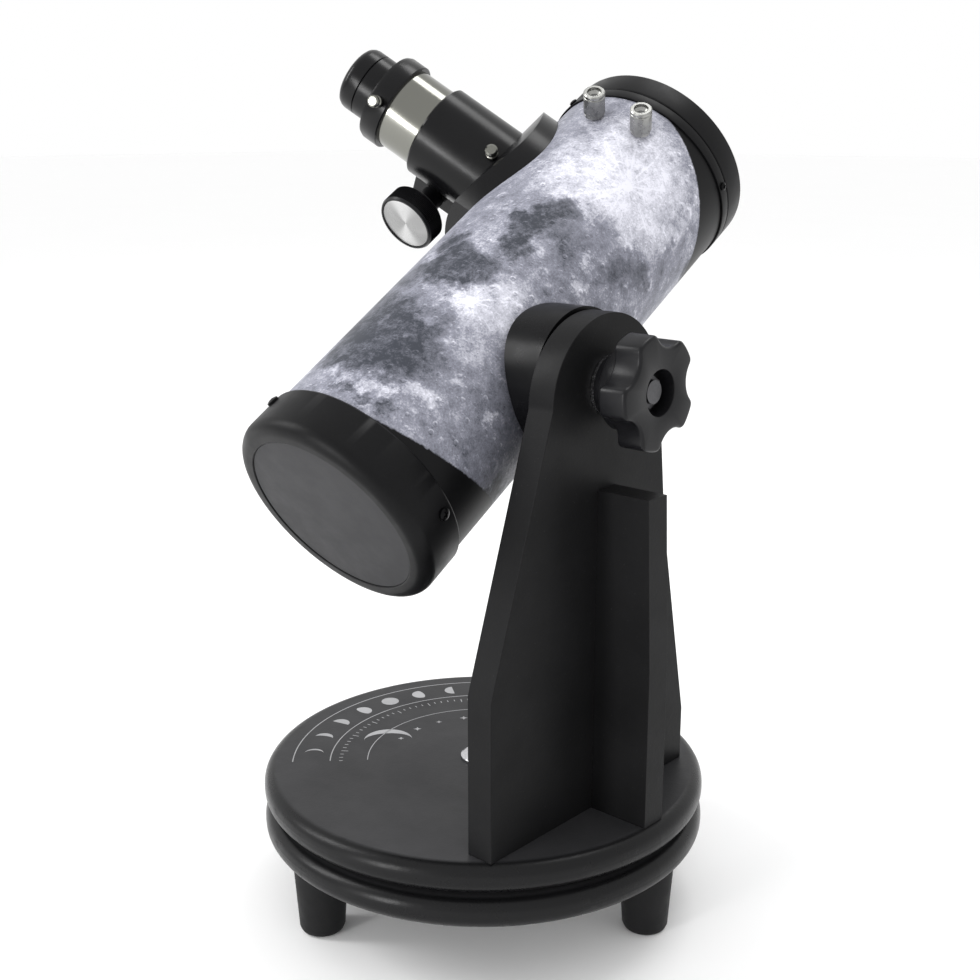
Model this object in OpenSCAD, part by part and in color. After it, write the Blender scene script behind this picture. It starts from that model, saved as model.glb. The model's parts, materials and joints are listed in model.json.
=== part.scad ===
// Tabletop reflector telescope on a single-arm rocker base.
// +Z is up, and the origin is the centre of the base on the surface it stands on.
// +X runs from the tube through the arm to the tension knob, along the altitude axis.
// +Y is the level direction that the front of the tube leans towards.

/* [Base] */
// Radius of the ground plate and of the rotating plate
plate_r = 105.5; // [100:0.5:115]
// Thickness of each plate
plate_t = 13.5; // [13:0.5:16]
// Radius of the rounding on each plate's rim
rim_r = 6; // [4:0.5:6]
// Gap between the two plates
plate_gap = 3; // [3:0.5:5]
// Height of the feet, from the surface to the ground plate
foot_h = 36; // [30:1:45]
// Distance of each foot from the centre
foot_place_r = 87; // [75:1:90]

/* [Arm] */
// Height of the altitude axis above the surface
alt_z = 258; // [250:1:270]
// Distance of the arm's inner face from the azimuth axis
arm_x = 58.5; // [58:0.5:60]
// Thickness of the arm panel and of the brace
board_t = 13; // [12:0.5:14]
// Radius of the arm's round top
arm_top_r = 37; // [35:0.5:40]
// Height at which the brace ends
brace_top_z = 214; // [190:1:216]

/* [Tube] */
// Altitude of the tube at rest, in degrees above level
alt_deg = 32; // [25:1:45]
// Outer radius of the tube with its wrap
tube_r = 49; // [48.5:0.1:49]
// Distance of the tube's axis from the azimuth axis, towards the focuser
tube_x = -8; // [-9:0.5:-7.5]
// Distance from the altitude axis to the rear face
rear_s = 102; // [100:0.5:106]
// Distance from the altitude axis to the front face
front_s = 163.5; // [162:0.5:168]

/* [Focuser] */
// Distance from the altitude axis to the focuser's axis, along the tube
foc_s = 98; // [95:0.5:100]
// Lean of the focuser from the tube's upper side, away from the arm
foc_lean = 50; // [45:1:55]
// Height of the focuser body's end above the tube's axis
body_h = 92.8; // [90:0.2:95]
// Length of drawtube that shows outside the body at rest
draw_out = 19.5; // [18:0.5:20]

/* [Hidden] */
$fn = 96;
fit = 0.05;          // clearance of a fixed or running fit
ground_top = foot_h + plate_t;
turn_low = ground_top + plate_gap;
turn_top = turn_low + plate_t;
foot_angles = [12.5, 132.5, 252.5];
pad_r = 8;
pad_place_r = 70;

az_bolt_r = 4;
az_bush_r = 7;
az_head_r = 11;
az_nut_r = 7.5;

arm_out = arm_x + board_t;
arm_round_z = alt_z - 6.5;
arm_front_kink = [-74, 138];   // [y, z] where the front flank meets the upright edge
arm_back_bend = [44, 188];
arm_back_kink = [63.5, 92];
arm_screw_ys = [-48, 42];
arm_screw_x = arm_x + board_t / 2;
brace_screw_zs = [105, 180];
brace_x = [98, 101];           // outer edge at the top and at the foot
brace_kink_z = 139;
brace_screw_x = 88;
wood_screw_r = 2.5;
wood_head_r = 5;

pivot_r = 5;
boss_r = 31.8;
boss_neck_r = 26;
boss_seat_r = 53.5;            // cylinder about the tube's axis where the wide part starts
boss_end = arm_x - 1.5;
knob_back = arm_out + 2.1;
knob_hub_x = 79;
knob_hub_r = 17.8;
knob_star_x = 84.8;
knob_face = 97.8;
knob_recess_r = 9.7;
knob_recess_x = 90;
knob_tip_r = 24.6;
knob_valley_r = 18.8;
knob_lobe_angle = 41;           // from +Y towards +Z
knob_lobes = 5;

wrap_t = 0.3;
shell_r = tube_r - wrap_t - 0.05;
shell_in = shell_r - 1.2;
cup_r = 50.6;
cup_front = -79;
cup_round = 6;
disc_r = 41.4;
ring_r = 50;
ring_back = 145;
ring_front = 150.2;
cover_back = 150.7;
screw_angles = [92.4, 212.4, 332.4];   // measured about the tube from its upper side
rear_screw_s = -84.5;
front_screw_s = 147.7;
mirror_r = 38;
mirror_face = -86;
mirror_curve = 600;

finder_s = 127.5;
finder_lean = 21;
finder_half = 12.7;
finder_nut_low = 48.7;
finder_nut_h = 13;
finder_nut_r = 5.2;

flange_r = 57;
flange_arc_r = 46;              // two such circles cross to give its pointed outline
flange_arc_x = 12.5;
flange_ends = [-38, 42];
body_r = 23.5;
draw_r = 20.6;
draw_in = 18.9;
collar_r = 22.6;
collar_low = body_h + draw_out;
collar_h = 11.3;
draw_low = 40;
eye_r = 16.3;
barrel_r = 15.875;
socket_r = barrel_r + fit;
eye_low = collar_low + collar_h + 0.2;
eye_top = 142;
barrel_low = eye_low - 26;
pinion_x = -26;
pinion_z = 77.8;
gear_m = 0.8;
gear_teeth = 12;
pitch_r = gear_m * gear_teeth / 2;
rack_teeth = 19;
rack_z = pinion_z - 24;
rack_top = collar_low - 6.2;
shaft_r = 2.5;
knob2_r = 15.4;
knob2_t = 11.5;
knob2_face = 37.8;
disc2_r = 13.8;
lock_z = 55.8;
lock_turn = -24;
collar_screw_turn = -50;

// ---------- Frames ----------

// Tube frame: Y runs along the tube to its front, Z is its upper side
module on_tube() translate([tube_x, 0, alt_z]) rotate([alt_deg, 0, 0]) children();

// Turned parts of the tube: Z runs along the tube to its front
module along_tube() on_tube() rotate([-90, 0, 0]) children();

// Radial frame at station s and angle a round the tube: Z points outwards
module round_tube(s, a) on_tube() translate([0, s, 0]) rotate([0, a, 0]) children();

// Focuser frame: Z runs out along the focuser, Y along the tube
module on_focuser() round_tube(foc_s, -foc_lean) children();

// Altitude axis frame: Z runs along +X
module on_pivot(x) translate([x, 0, alt_z]) rotate([0, 90, 0]) children();

module at_feet() for (a = foot_angles) rotate(a) translate([foot_place_r, 0, 0]) children();

// ---------- Shared shapes ----------

module pipe(r_out, r_in, h) difference() {
    cylinder(r = r_out, h = h);
    translate([0, 0, -1]) cylinder(r = r_in, h = h + 2);
}

// Disc with a rounded rim, standing on z = 0
module rim_disc() rotate_extrude() {
    square([plate_r - rim_r, plate_t]);
    translate([0, rim_r]) square([plate_r, plate_t - 2 * rim_r]);
    for (z = [rim_r, plate_t - rim_r]) intersection() {
        translate([plate_r - rim_r, z]) circle(r = rim_r);
        square([plate_r, plate_t]);
    }
}

// Wood screw with a countersunk head at z = 0 and its tip at z = h
module wood_screw(h) rotate_extrude() polygon([[0, 0], [wood_head_r - 0.4, 0],
    [wood_head_r - 0.4, 0.6], [wood_screw_r, 3], [wood_screw_r, h - 4], [0, h]]);

module wood_screw_hole(h) rotate_extrude() polygon([[0, -1], [wood_head_r, -1],
    [wood_head_r, 0.7], [wood_screw_r + fit, 3.2], [wood_screw_r + fit, h], [0, h]]);

// Small pan-head screw through a wall: head above z = 0, shank below
module pan_screw(shank_r, shank_l, head_r, head_h) {
    difference() {
        intersection() {
            cylinder(r = head_r, h = head_h);
            translate([0, 0, head_h - 2 * head_r]) sphere(r = 2 * head_r);
        }
        for (a = [0, 90]) rotate(a) translate([-head_r * 0.6, -0.3, head_h * 0.45])
            cube([head_r * 1.2, 0.6, head_h]);
    }
    translate([0, 0, -shank_l]) cylinder(r = shank_r, h = shank_l + 0.1);
}

// Thumbscrew: head from z = 0 to head_h, waist in the middle, shank below
module thumb_screw(head_r, head_h, shank_r, shank_l) {
    rotate_extrude() polygon([[0, 0], [head_r - 0.5, 0], [head_r, 0.5],
        [head_r, head_h * 0.38], [head_r * 0.72, head_h * 0.46],
        [head_r * 0.72, head_h * 0.56], [head_r, head_h * 0.64],
        [head_r, head_h - 0.8], [head_r - 0.8, head_h], [0, head_h]]);
    translate([0, 0, -shank_l]) cylinder(r = shank_r, h = shank_l + 0.1);
}

// ---------- Base ----------

module ground_plate() color("#1b1b1d") difference() {
    translate([0, 0, foot_h]) rim_disc();
    cylinder(r = az_bolt_r + fit, h = 200);
    translate([0, 0, foot_h - 1]) cylinder(r = az_nut_r + 2, h = 8.5);
    at_feet() translate([0, 0, foot_h - 1]) cylinder(r = 2 + fit, h = 11);
}

module foot(i) color("#141415") rotate(foot_angles[i]) translate([foot_place_r, 0, 0])
    difference() {
        rotate_extrude() {
            polygon([[0, 0], [7.6, 0], [10.6, 3], [12.8, foot_h], [0, foot_h]]);
            intersection() {
                translate([7.6, 3]) circle(r = 3);
                square([20, 20]);
            }
        }
        translate([0, 0, -1]) cylinder(r = 4.5, h = 21);
        translate([0, 0, 10]) cylinder(r = 2 + fit, h = foot_h);
    }

module foot_screws() color("#b8b8b8") at_feet() {
    translate([0, 0, 16.9]) cylinder(r = 4, h = 3);
    translate([0, 0, 19.8]) cylinder(r = 2, h = foot_h - 10.5);
}

module glide_pads() color("#d8d8d4") for (a = foot_angles)
    rotate(a + 60) translate([pad_place_r, 0, ground_top])
        cylinder(r = pad_r, h = plate_gap - 0.1);

module azimuth_washer() color("#d8d8d4") translate([0, 0, ground_top])
    pipe(14, az_bolt_r + fit, plate_gap - 0.1);

module rotating_plate() color("#3a3a3c") difference() {
    translate([0, 0, turn_low]) rim_disc();
    translate([0, 0, turn_low - 1]) cylinder(r = az_bush_r, h = plate_t + 2);
    for (y = arm_screw_ys) translate([arm_screw_x, y, turn_low])
        wood_screw_hole(plate_t + 1);
    translate([brace_screw_x, 0, turn_low]) wood_screw_hole(plate_t + 1);
}

module azimuth_bush() color("#b59a55") translate([0, 0, turn_low])
    pipe(az_bush_r - 0.02, az_bolt_r + fit, plate_t);

module azimuth_bolt() color("#c8c8ca") {
    difference() {
        translate([0, 0, turn_top + 0.1]) rotate_extrude() {
            polygon([[0, 0], [az_head_r, 0], [az_head_r, 1.2], [az_head_r - 3, 3.4], [0, 3.4]]);
        }
        translate([0, 0, turn_top + 1.6]) cylinder(r = 3.4, h = 5, $fn = 6);
    }
    translate([0, 0, foot_h + 0.6]) cylinder(r = az_bolt_r, h = turn_top - foot_h);
}

module azimuth_nut() color("#c8c8ca") translate([0, 0, foot_h + 1]) difference() {
    cylinder(r = az_nut_r, h = 6.45, $fn = 6);
    translate([0, 0, -1]) cylinder(r = az_bolt_r + fit, h = 9);
}

// ---------- Arm ----------

// Board outline in [y, z], standing on the rotating plate
module arm_outline() {
    translate([0, arm_round_z]) circle(r = arm_top_r);
    polygon([[-arm_top_r, arm_round_z], arm_front_kink, [arm_front_kink[0], turn_top],
        [arm_back_kink[0], turn_top], arm_back_kink, arm_back_bend,
        [arm_top_r, arm_round_z]]);
}

module arm_panel() color("#222224") difference() {
    translate([arm_x, 0, 0]) rotate([90, 0, 90]) linear_extrude(board_t) arm_outline();
    on_pivot(arm_x - 1) cylinder(r = 9, h = board_t + 2);
    for (y = arm_screw_ys) translate([arm_screw_x, y, turn_low]) wood_screw_hole(46);
    for (z = brace_screw_zs) translate([arm_x, 0, z]) rotate([0, 90, 0]) wood_screw_hole(40);
}

module arm_brace() color("#222224") difference() {
    translate([0, board_t / 2, 0]) rotate([90, 0, 0]) linear_extrude(board_t)
        polygon([[arm_out, turn_top], [brace_x[1], turn_top], [brace_x[1], brace_kink_z],
            [brace_x[0], brace_top_z], [arm_out, brace_top_z]]);
    translate([brace_screw_x, 0, turn_low]) wood_screw_hole(46);
    for (z = brace_screw_zs) translate([arm_x, 0, z]) rotate([0, 90, 0]) wood_screw_hole(36);
}

module arm_screws() color("#b8b8b8") {
    for (y = arm_screw_ys) translate([arm_screw_x, y, turn_low + 0.2]) wood_screw(44);
    translate([brace_screw_x, 0, turn_low + 0.2]) wood_screw(44);
}

module brace_screws() color("#161617") for (z = brace_screw_zs)
    translate([arm_x + 0.1, 0, z]) rotate([0, 90, 0]) wood_screw(34);

module pivot_bush() color("#0f0f10") on_pivot(arm_x)
    pipe(9 - fit, pivot_r + fit, board_t);

// ---------- Altitude pivot ----------

// Wide boss on a narrower neck, hollowed to the tube's curve, with a pocket for the bolt's head
module pivot_boss() color("#0f0f10") difference() {
    union() {
        difference() {
            on_pivot(20) cylinder(r = boss_r, h = boss_end - 20);
            along_tube() translate([0, 0, -100]) cylinder(r = boss_seat_r, h = 200);
        }
        on_pivot(20) cylinder(r = boss_neck_r, h = boss_end - 25);
    }
    along_tube() translate([0, 0, -100]) cylinder(r = tube_r + 0.02, h = 200);
    on_pivot(30) cylinder(r = pivot_r + fit, h = 60);
    on_pivot(30) cylinder(r = 9.2, h = 18);
}

module pivot_bolt() color("#9a9a9c") {
    on_pivot(41.6) cylinder(r = 8.6, h = 6.2, $fn = 6);
    on_pivot(47) cylinder(r = pivot_r, h = knob_recess_x + 4.5 - 47);
}

module friction_washer() color("#0b0b0c") on_pivot(boss_end + fit)
    pipe(28, pivot_r + 0.2, arm_x - boss_end - 2 * fit);

module outer_washer() color("#8c8c8e") on_pivot(arm_out + fit)
    pipe(13, pivot_r + 0.2, 1.9);

// Star outline: broad lobes between shallow round valleys
module star(h) difference() {
    cylinder(r = knob_tip_r, h = h);
    for (i = [0 : knob_lobes - 1]) rotate(knob_lobe_angle + (i + 0.5) * 360 / knob_lobes)
        translate([knob_valley_r + 11, 0, -1]) cylinder(r = 11, h = h + 2);
}

// Star handle with a stepped hub behind it and a recess in its face
module tension_knob() color("#161617") difference() {
    union() {
        on_pivot(knob_back) cylinder(r = 13.5, h = knob_hub_x - knob_back + 1);
        on_pivot(knob_hub_x) cylinder(r = knob_hub_r, h = knob_star_x - knob_hub_x + 1);
        on_pivot(knob_star_x) rotate([0, 0, 90]) star(knob_face - knob_star_x);
    }
    on_pivot(knob_back - 1) cylinder(r = 7.5, h = 40);
    on_pivot(knob_recess_x) cylinder(r = knob_recess_r, h = 20);
}

module knob_insert() color("#b0b0b2") on_pivot(knob_back + 0.4) difference() {
    union() {
        cylinder(r = 7.48, h = knob_recess_x - knob_back - 0.3);
        translate([0, 0, knob_recess_x - knob_back - 0.35]) cylinder(r = 7.4, h = 2.6, $fn = 6);
    }
    translate([0, 0, -1]) cylinder(r = pivot_r + fit, h = 40);
}

// ---------- Tube ----------

module focuser_hole() on_focuser() cylinder(r = 22.6, h = 80);

module stud_holes(r) round_tube(finder_s, finder_lean)
    for (x = [-finder_half, finder_half]) translate([x, 0, 30]) cylinder(r = r, h = 40);

module flange_screw_holes() on_focuser() for (y = flange_screw_ys)
    translate([0, y, 40]) cylinder(r = 1.5 + fit, h = 20);

module wall_screw_holes(s, r) for (a = screw_angles) round_tube(s, a)
    translate([0, 0, 40]) cylinder(r = r, h = 20);

module main_tube() color("#2a2a2c") difference() {
    along_tube() translate([0, 0, -98]) pipe(shell_r, shell_in, 98 + 149);
    focuser_hole();
    flange_screw_holes();
    stud_holes(2 + fit);
    wall_screw_holes(rear_screw_s, 1.5 + fit);
    wall_screw_holes(front_screw_s, 1.2 + fit);
}

module moon_wrap() color("#b9b9c6") difference() {
    along_tube() translate([0, 0, cup_front + 0.1])
        pipe(tube_r, tube_r - wrap_t, ring_back - cup_front - 0.2);
    focuser_hole();
    flange_screw_holes();
    stud_holes(2 + fit);
}

// Cup over the rear end, in [radius, station] with a rounded rear edge
module rear_cup() color("#101011") difference() {
    along_tube() rotate_extrude() {
        difference() {
            union() {
                translate([0, -rear_s - 0.4]) square([cup_r - cup_round, rear_s + 0.4 + cup_front]);
                translate([0, cup_round - rear_s - 0.4])
                    square([cup_r, rear_s + 0.4 + cup_front - cup_round - 0.6]);
                translate([0, cup_front - 1]) square([cup_r - 0.6, 1]);
                intersection() {
                    translate([cup_r - cup_round, cup_round - rear_s - 0.4]) circle(r = cup_round);
                    translate([0, -rear_s - 0.4]) square([cup_r, cup_round]);
                }
            }
            translate([0, -98.3]) square([tube_r - wrap_t, 40]);
            translate([0, -rear_s - 1]) square([disc_r + fit, 2.2]);
        }
    }
    wall_screw_holes(rear_screw_s, 1.5 + fit);
}

module rear_disc() color("#474747") along_tube() translate([0, 0, -rear_s + 0.1])
    cylinder(r = disc_r, h = 1);

module rear_screws() color("#0c0c0d") for (a = screw_angles)
    round_tube(rear_screw_s, a) translate([0, 0, cup_r + 0.02]) pan_screw(1.5, 4.5, 2.7, 1.7);

module mirror_cell() color("#2c2c2e") along_tube() translate([0, 0, -97.9]) difference() {
    union() {
        cylinder(r = shell_in - 0.1, h = 2.8);
        for (a = [30 : 120 : 270]) rotate(a) translate([20, 0, 0]) cylinder(r = 6, h = 3.9);
    }
    translate([0, 0, -1]) cylinder(r = 12, h = 6);
}

module primary_mirror() color("#cfd6dc") along_tube() difference() {
    translate([0, 0, -93.9]) cylinder(r = mirror_r, h = mirror_face + 93.9);
    translate([0, 0, mirror_face + mirror_curve - pow(mirror_r, 2) / (2 * mirror_curve)])
        sphere(r = mirror_curve, $fn = 200);
}

module mirror_clips() color("#1d1d1f") along_tube() for (a = [90 : 120 : 330]) rotate(a)
    translate([mirror_r + 0.2, -4, -95]) {
        cube([4, 8, mirror_face + 95.2]);
        translate([-2.6, 0, mirror_face + 95.1]) cube([6.6, 8, 1.6]);
    }

module front_ring() color("#101011") difference() {
    along_tube() translate([0, 0, ring_back]) difference() {
        cylinder(r = ring_r, h = ring_front - ring_back);
        translate([0, 0, -1]) cylinder(r = shell_r + 0.02, h = 1 + 149.1 - ring_back);
        translate([0, 0, -1]) cylinder(r = 46.5, h = 20);
    }
    wall_screw_holes(front_screw_s, 1.2 + fit);
}

module front_screws() color("#0c0c0d") for (a = screw_angles)
    round_tube(front_screw_s, a) translate([0, 0, ring_r + 0.02]) pan_screw(1.2, 3.6, 2, 1.3);

// Push-in cover: outer rim, face set back from the rim, skirt inside the front ring
module dust_cover() color("#101011") along_tube() rotate_extrude() polygon([
    [0, front_s - 3.8], [44.2, front_s - 3.8], [44.2, 143.5], [46.3, 143.5],
    [46.3, cover_back], [ring_r, cover_back], [ring_r, front_s - 1],
    [ring_r - 1, front_s], [46.6, front_s], [45.6, front_s - 1.8], [0, front_s - 1.8]]);

module spider() color("#1d1d1f") along_tube() translate([0, 0, 124]) difference() {
    union() {
        cylinder(r = 9, h = 12);
        for (a = [90 : 120 : 330]) rotate(a) translate([8, -0.8, 2])
            cube([shell_in - 8.4, 1.6, 8]);
    }
    translate([0, 0, -1]) cylinder(r = 2, h = 20);
}

// Stalk cut at 45 degrees, which holds the flat mirror on the tube's axis
module secondary_holder() color("#1d1d1f") on_focuser() difference() {
    rotate([-90, 0, 0]) translate([0, 0, -12]) cylinder(r = 8.5, h = 12 + 25.9);
    rotate([45, 0, 0]) translate([-50, -50, -2.05]) cube(100);
}

module secondary_mirror() color("#cfd6dc") on_focuser() intersection() {
    rotate([-90, 0, 0]) translate([0, 0, -30]) cylinder(r = 9.5, h = 60);
    rotate([45, 0, 0]) translate([-30, -30, -2]) cube([60, 60, 2]);
}

// ---------- Finder shoe ----------

module finder_studs() color("#9a9a9c") round_tube(finder_s, finder_lean)
    for (x = [-finder_half, finder_half]) translate([x, 0, 0]) {
        translate([0, 0, 43]) cylinder(r = 3.4, h = 1.6);
        translate([0, 0, 44]) cylinder(r = 2, h = 14.5);
    }

module finder_nut(x) color("#b4b4b0") round_tube(finder_s, finder_lean)
    translate([x, 0, finder_nut_low]) rotate_extrude() polygon([[2 + fit, 0],
        [finder_nut_r - 0.6, 0], [finder_nut_r - 0.6, 1.2], [finder_nut_r, 1.8],
        [finder_nut_r, finder_nut_h - 0.7], [finder_nut_r - 0.7, finder_nut_h],
        [3.4, finder_nut_h], [3.4, finder_nut_h - 1.6], [2 + fit, finder_nut_h - 2.6]]);

// ---------- Focuser ----------

module tube_cylinder(r) rotate([-90, 0, 0]) translate([0, 0, -80]) cylinder(r = r, h = 160);

flange_screw_ys = [-32, 32];

// Saddle on the tube, its outline pointed along the tube with the points cut square
module focuser_flange() color("#161618") on_focuser() difference() {
    intersection() {
        translate([-flange_arc_x, 0, 0]) cylinder(r = flange_arc_r, h = 70);
        translate([flange_arc_x, 0, 0]) cylinder(r = flange_arc_r, h = 70);
        translate([-50, flange_ends[0], 0]) cube([100, flange_ends[1] - flange_ends[0], 70]);
        tube_cylinder(flange_r);
    }
    tube_cylinder(tube_r + 0.02);
    cylinder(r = 21, h = 80);
    translate([-22.4, -3.3, 30]) cube([8, 6.6, 40]);    // room for the rack
    for (y = flange_screw_ys) translate([0, y, 30]) cylinder(r = 1.5 + fit, h = 24);
}

// Screws put in from inside the tube
module flange_screws() color("#8f8f8f") on_focuser() for (y = flange_screw_ys)
    translate([0, y, shell_in - 0.1]) rotate([180, 0, 0]) pan_screw(1.5, 6.5, 3, 1.8);

module focuser_body() color("#161618") on_focuser() difference() {
    union() {
        translate([0, 0, 45]) cylinder(r = body_r, h = body_h - 46);
        translate([0, 0, body_h - 1.01]) cylinder(r1 = body_r, r2 = body_r - 1, h = 1.01);
    }
    tube_cylinder(flange_r + 0.02);
    cylinder(r = draw_r + fit, h = 120);
    translate([-30, -6, pinion_z - 8]) cube([15, 12, 16]);
    translate([-30, -3.1, 30]) cube([15, 6.2, 80]);
    rotate(lock_turn) translate([0, 0, lock_z]) rotate([0, 90, 0])
        cylinder(r = 2 + fit, h = 40);
}

module drawtube() color("#c9c9c6") on_focuser() difference() {
    translate([0, 0, draw_low]) pipe(draw_r, draw_in, collar_low - draw_low);
    translate([-30, -3.05, rack_z - 0.1]) cube([15, 6.1, rack_top - rack_z + 0.15]);
}

// Straight rack let into the drawtube's side, teeth facing the pinion
module drawtube_rack() color("#8f8f8f") on_focuser() difference() {
    translate([pinion_x + pitch_r - gear_m, -3, rack_z])
        cube([3.6, 6, rack_top - rack_z]);
    for (i = [0 : rack_teeth]) translate([pinion_x + pitch_r, 0,
            pinion_z + (i - rack_teeth / 2) * PI * gear_m])
        rotate([90, 0, 0]) translate([0, 0, -4]) linear_extrude(8) polygon([
            [-gear_m - 0.1, -gear_m * 1.2], [gear_m * 1.15, -gear_m * 0.5],
            [gear_m * 1.15, gear_m * 0.5], [-gear_m - 0.1, gear_m * 1.2]]);
}

// Half shells of the pinion's bearing, as one block on the far side of the body
module pinion_housing() color("#161618") on_focuser() difference() {
    translate([-33, -12, pinion_z - 15]) cube([14, 24, 28]);
    cylinder(r = body_r + 0.02, h = 120);
    translate([pinion_x, 0, pinion_z]) rotate([-90, 0, 0]) {
        translate([0, 0, -20]) cylinder(r = shaft_r + fit, h = 40);
        translate([0, 0, -5]) cylinder(r = pitch_r + 1.4, h = 10);
    }
    translate([-24, -3.1, 30]) cube([15, 6.2, 80]);
    for (z = [pinion_z - 12, pinion_z + 10], y = [-8, 8])
        translate([-40, y, z]) rotate([0, 90, 0]) cylinder(r = 1.2 + fit, h = 14);
}

module housing_screws() color("#0c0c0d") on_focuser()
    for (z = [pinion_z - 12, pinion_z + 10], y = [-8, 8])
        translate([-33.02, y, z]) rotate([0, -90, 0]) pan_screw(1.2, 6, 2, 1.2);

module pinion_shaft() color("#8f8f8f") on_focuser() translate([pinion_x, 0, pinion_z])
    rotate([-90, 0, 0]) translate([0, 0, -knob2_face + 3]) cylinder(r = shaft_r, h = 2 * knob2_face - 6);

module pinion_gear() color("#b59a55") on_focuser() translate([pinion_x, 0, pinion_z])
    rotate([-90, 0, 0]) translate([0, 0, -3]) linear_extrude(6) difference() {
        union() {
            circle(r = pitch_r - gear_m * 1.15);
            for (i = [0 : gear_teeth - 1]) rotate((i + 0.5) * 360 / gear_teeth) polygon([
                [0, -gear_m], [pitch_r - gear_m, -gear_m * 0.85],
                [pitch_r, -gear_m * 0.55], [pitch_r + gear_m * 0.9, -gear_m * 0.26],
                [pitch_r + gear_m * 0.9, gear_m * 0.26], [pitch_r, gear_m * 0.55],
                [pitch_r - gear_m, gear_m * 0.85], [0, gear_m]]);
        }
        circle(r = shaft_r + 0.02);
    }

// Knob frame on the pinion's axis: Z points away from the focuser, side is 1 or -1
module on_knob(side) on_focuser() translate([pinion_x, 0, pinion_z])
    rotate([-90 * side, 0, 0]) children();

module focus_knob(side) color("#131314") on_knob(side) difference() {
    rotate_extrude() polygon([[0, 14], [6, 14], [6, knob2_face - knob2_t],
        [knob2_r - 1, knob2_face - knob2_t], [knob2_r, knob2_face - knob2_t + 1],
        [knob2_r, knob2_face - 1], [knob2_r - 0.8, knob2_face], [disc2_r + fit, knob2_face],
        [disc2_r + fit, knob2_face - 1.4], [0, knob2_face - 1.4]]);
    cylinder(r = shaft_r + 0.02, h = knob2_face - 2.9);
}

module knob_disc(side) color("#b4b4b4") on_knob(side)
    translate([0, 0, knob2_face - 1.35]) cylinder(r = disc2_r, h = 1.1);

module focus_lock_screw() color("#c9c9c9") on_focuser() rotate(lock_turn)
    translate([body_r + 0.3, 0, lock_z]) rotate([0, 90, 0]) thumb_screw(3, 7, 2, 2.2);

module eyepiece_collar() color("#131314") on_focuser() difference() {
    union() {
        translate([0, 0, collar_low]) rotate_extrude() polygon([[socket_r, 0], [collar_r - 0.6, 0],
            [collar_r, 0.6], [collar_r, collar_h - 3], [collar_r - 3, collar_h],
            [socket_r, collar_h]]);
        translate([0, 0, collar_low - 6]) pipe(draw_in - fit, socket_r, 6.1);
    }
    rotate(collar_screw_turn) translate([0, 0, collar_low + 5.2])
        rotate([0, 90, 0]) cylinder(r = 1.8 + fit, h = 40);
}

module collar_screw() color("#c9c9c9") on_focuser()
    rotate(collar_screw_turn) translate([collar_r + 0.2, 0, collar_low + 5.2])
        rotate([0, 90, 0]) thumb_screw(2.9, 7, 1.8, 4.5);

module eyepiece_body() color("#111112") on_focuser() translate([0, 0, eye_low])
    rotate_extrude() polygon([[11, 0], [eye_r - 0.5, 0], [eye_r, 0.5],
        [eye_r, eye_top - eye_low - 4], [eye_r - 1.2, eye_top - eye_low - 1.2],
        [eye_r - 4, eye_top - eye_low], [10.2, eye_top - eye_low],
        [8.6, eye_top - eye_low - 3.4], [8.6, eye_top - eye_low - 6], [11, eye_top - eye_low - 6]]);

module eyepiece_barrel() color("#c9c9c9") on_focuser() {
    translate([0, 0, barrel_low]) pipe(barrel_r, barrel_r - 1.2, eye_low - barrel_low - 0.02);
    translate([0, 0, eye_low - 1.2]) pipe(barrel_r, 9, 1.18);
}

module eye_lens() color("#9fb4c4") on_focuser() translate([0, 0, eye_top - 11.2])
    intersection() {
        cylinder(r = 8.5, h = 5);
        translate([0, 0, 5 - 40]) sphere(r = 40);
    }

module field_lens() color("#9fb4c4") on_focuser() translate([0, 0, barrel_low + 4])
    intersection() {
        cylinder(r = barrel_r - 1.25, h = 4);
        translate([0, 0, 45]) sphere(r = 45);
    }

ground_plate();
foot(0);  // foot_1
foot(1);  // foot_2
foot(2);  // foot_3
foot_screws();
glide_pads();
azimuth_washer();
rotating_plate();
azimuth_bush();
azimuth_bolt();
azimuth_nut();
arm_panel();
arm_brace();
arm_screws();
brace_screws();
pivot_bush();
pivot_boss();
pivot_bolt();
friction_washer();
outer_washer();
tension_knob();
knob_insert();
main_tube();
moon_wrap();
rear_cup();
rear_disc();
rear_screws();
mirror_cell();
primary_mirror();
mirror_clips();
front_ring();
front_screws();
dust_cover();
spider();
secondary_holder();
secondary_mirror();
finder_studs();
finder_nut(-finder_half);  // finder_nut_1
finder_nut(finder_half);  // finder_nut_2
focuser_flange();
flange_screws();
focuser_body();
drawtube();
drawtube_rack();
pinion_housing();
housing_screws();
pinion_shaft();
pinion_gear();
focus_knob(-1);  // focus_knob_rear
focus_knob(1);  // focus_knob_front
knob_disc(-1);  // knob_disc_rear
knob_disc(1);  // knob_disc_front
focus_lock_screw();
eyepiece_collar();
collar_screw();
eyepiece_body();
eyepiece_barrel();
eye_lens();
field_lens();
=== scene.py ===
"""Looks of a tabletop reflector telescope on a single-arm rocker base.

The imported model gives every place, size and motion. Each class below dresses one
sub-assembly around it, in metres and in the same frame: +Z is up, +X runs from the tube
towards the arm, and the tube's front leans towards +Y.
"""

from __future__ import annotations

import json
import logging
import math
from collections.abc import Callable
from dataclasses import dataclass
from enum import Enum

import bmesh
import bpy
from mathutils import Matrix, Vector


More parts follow.
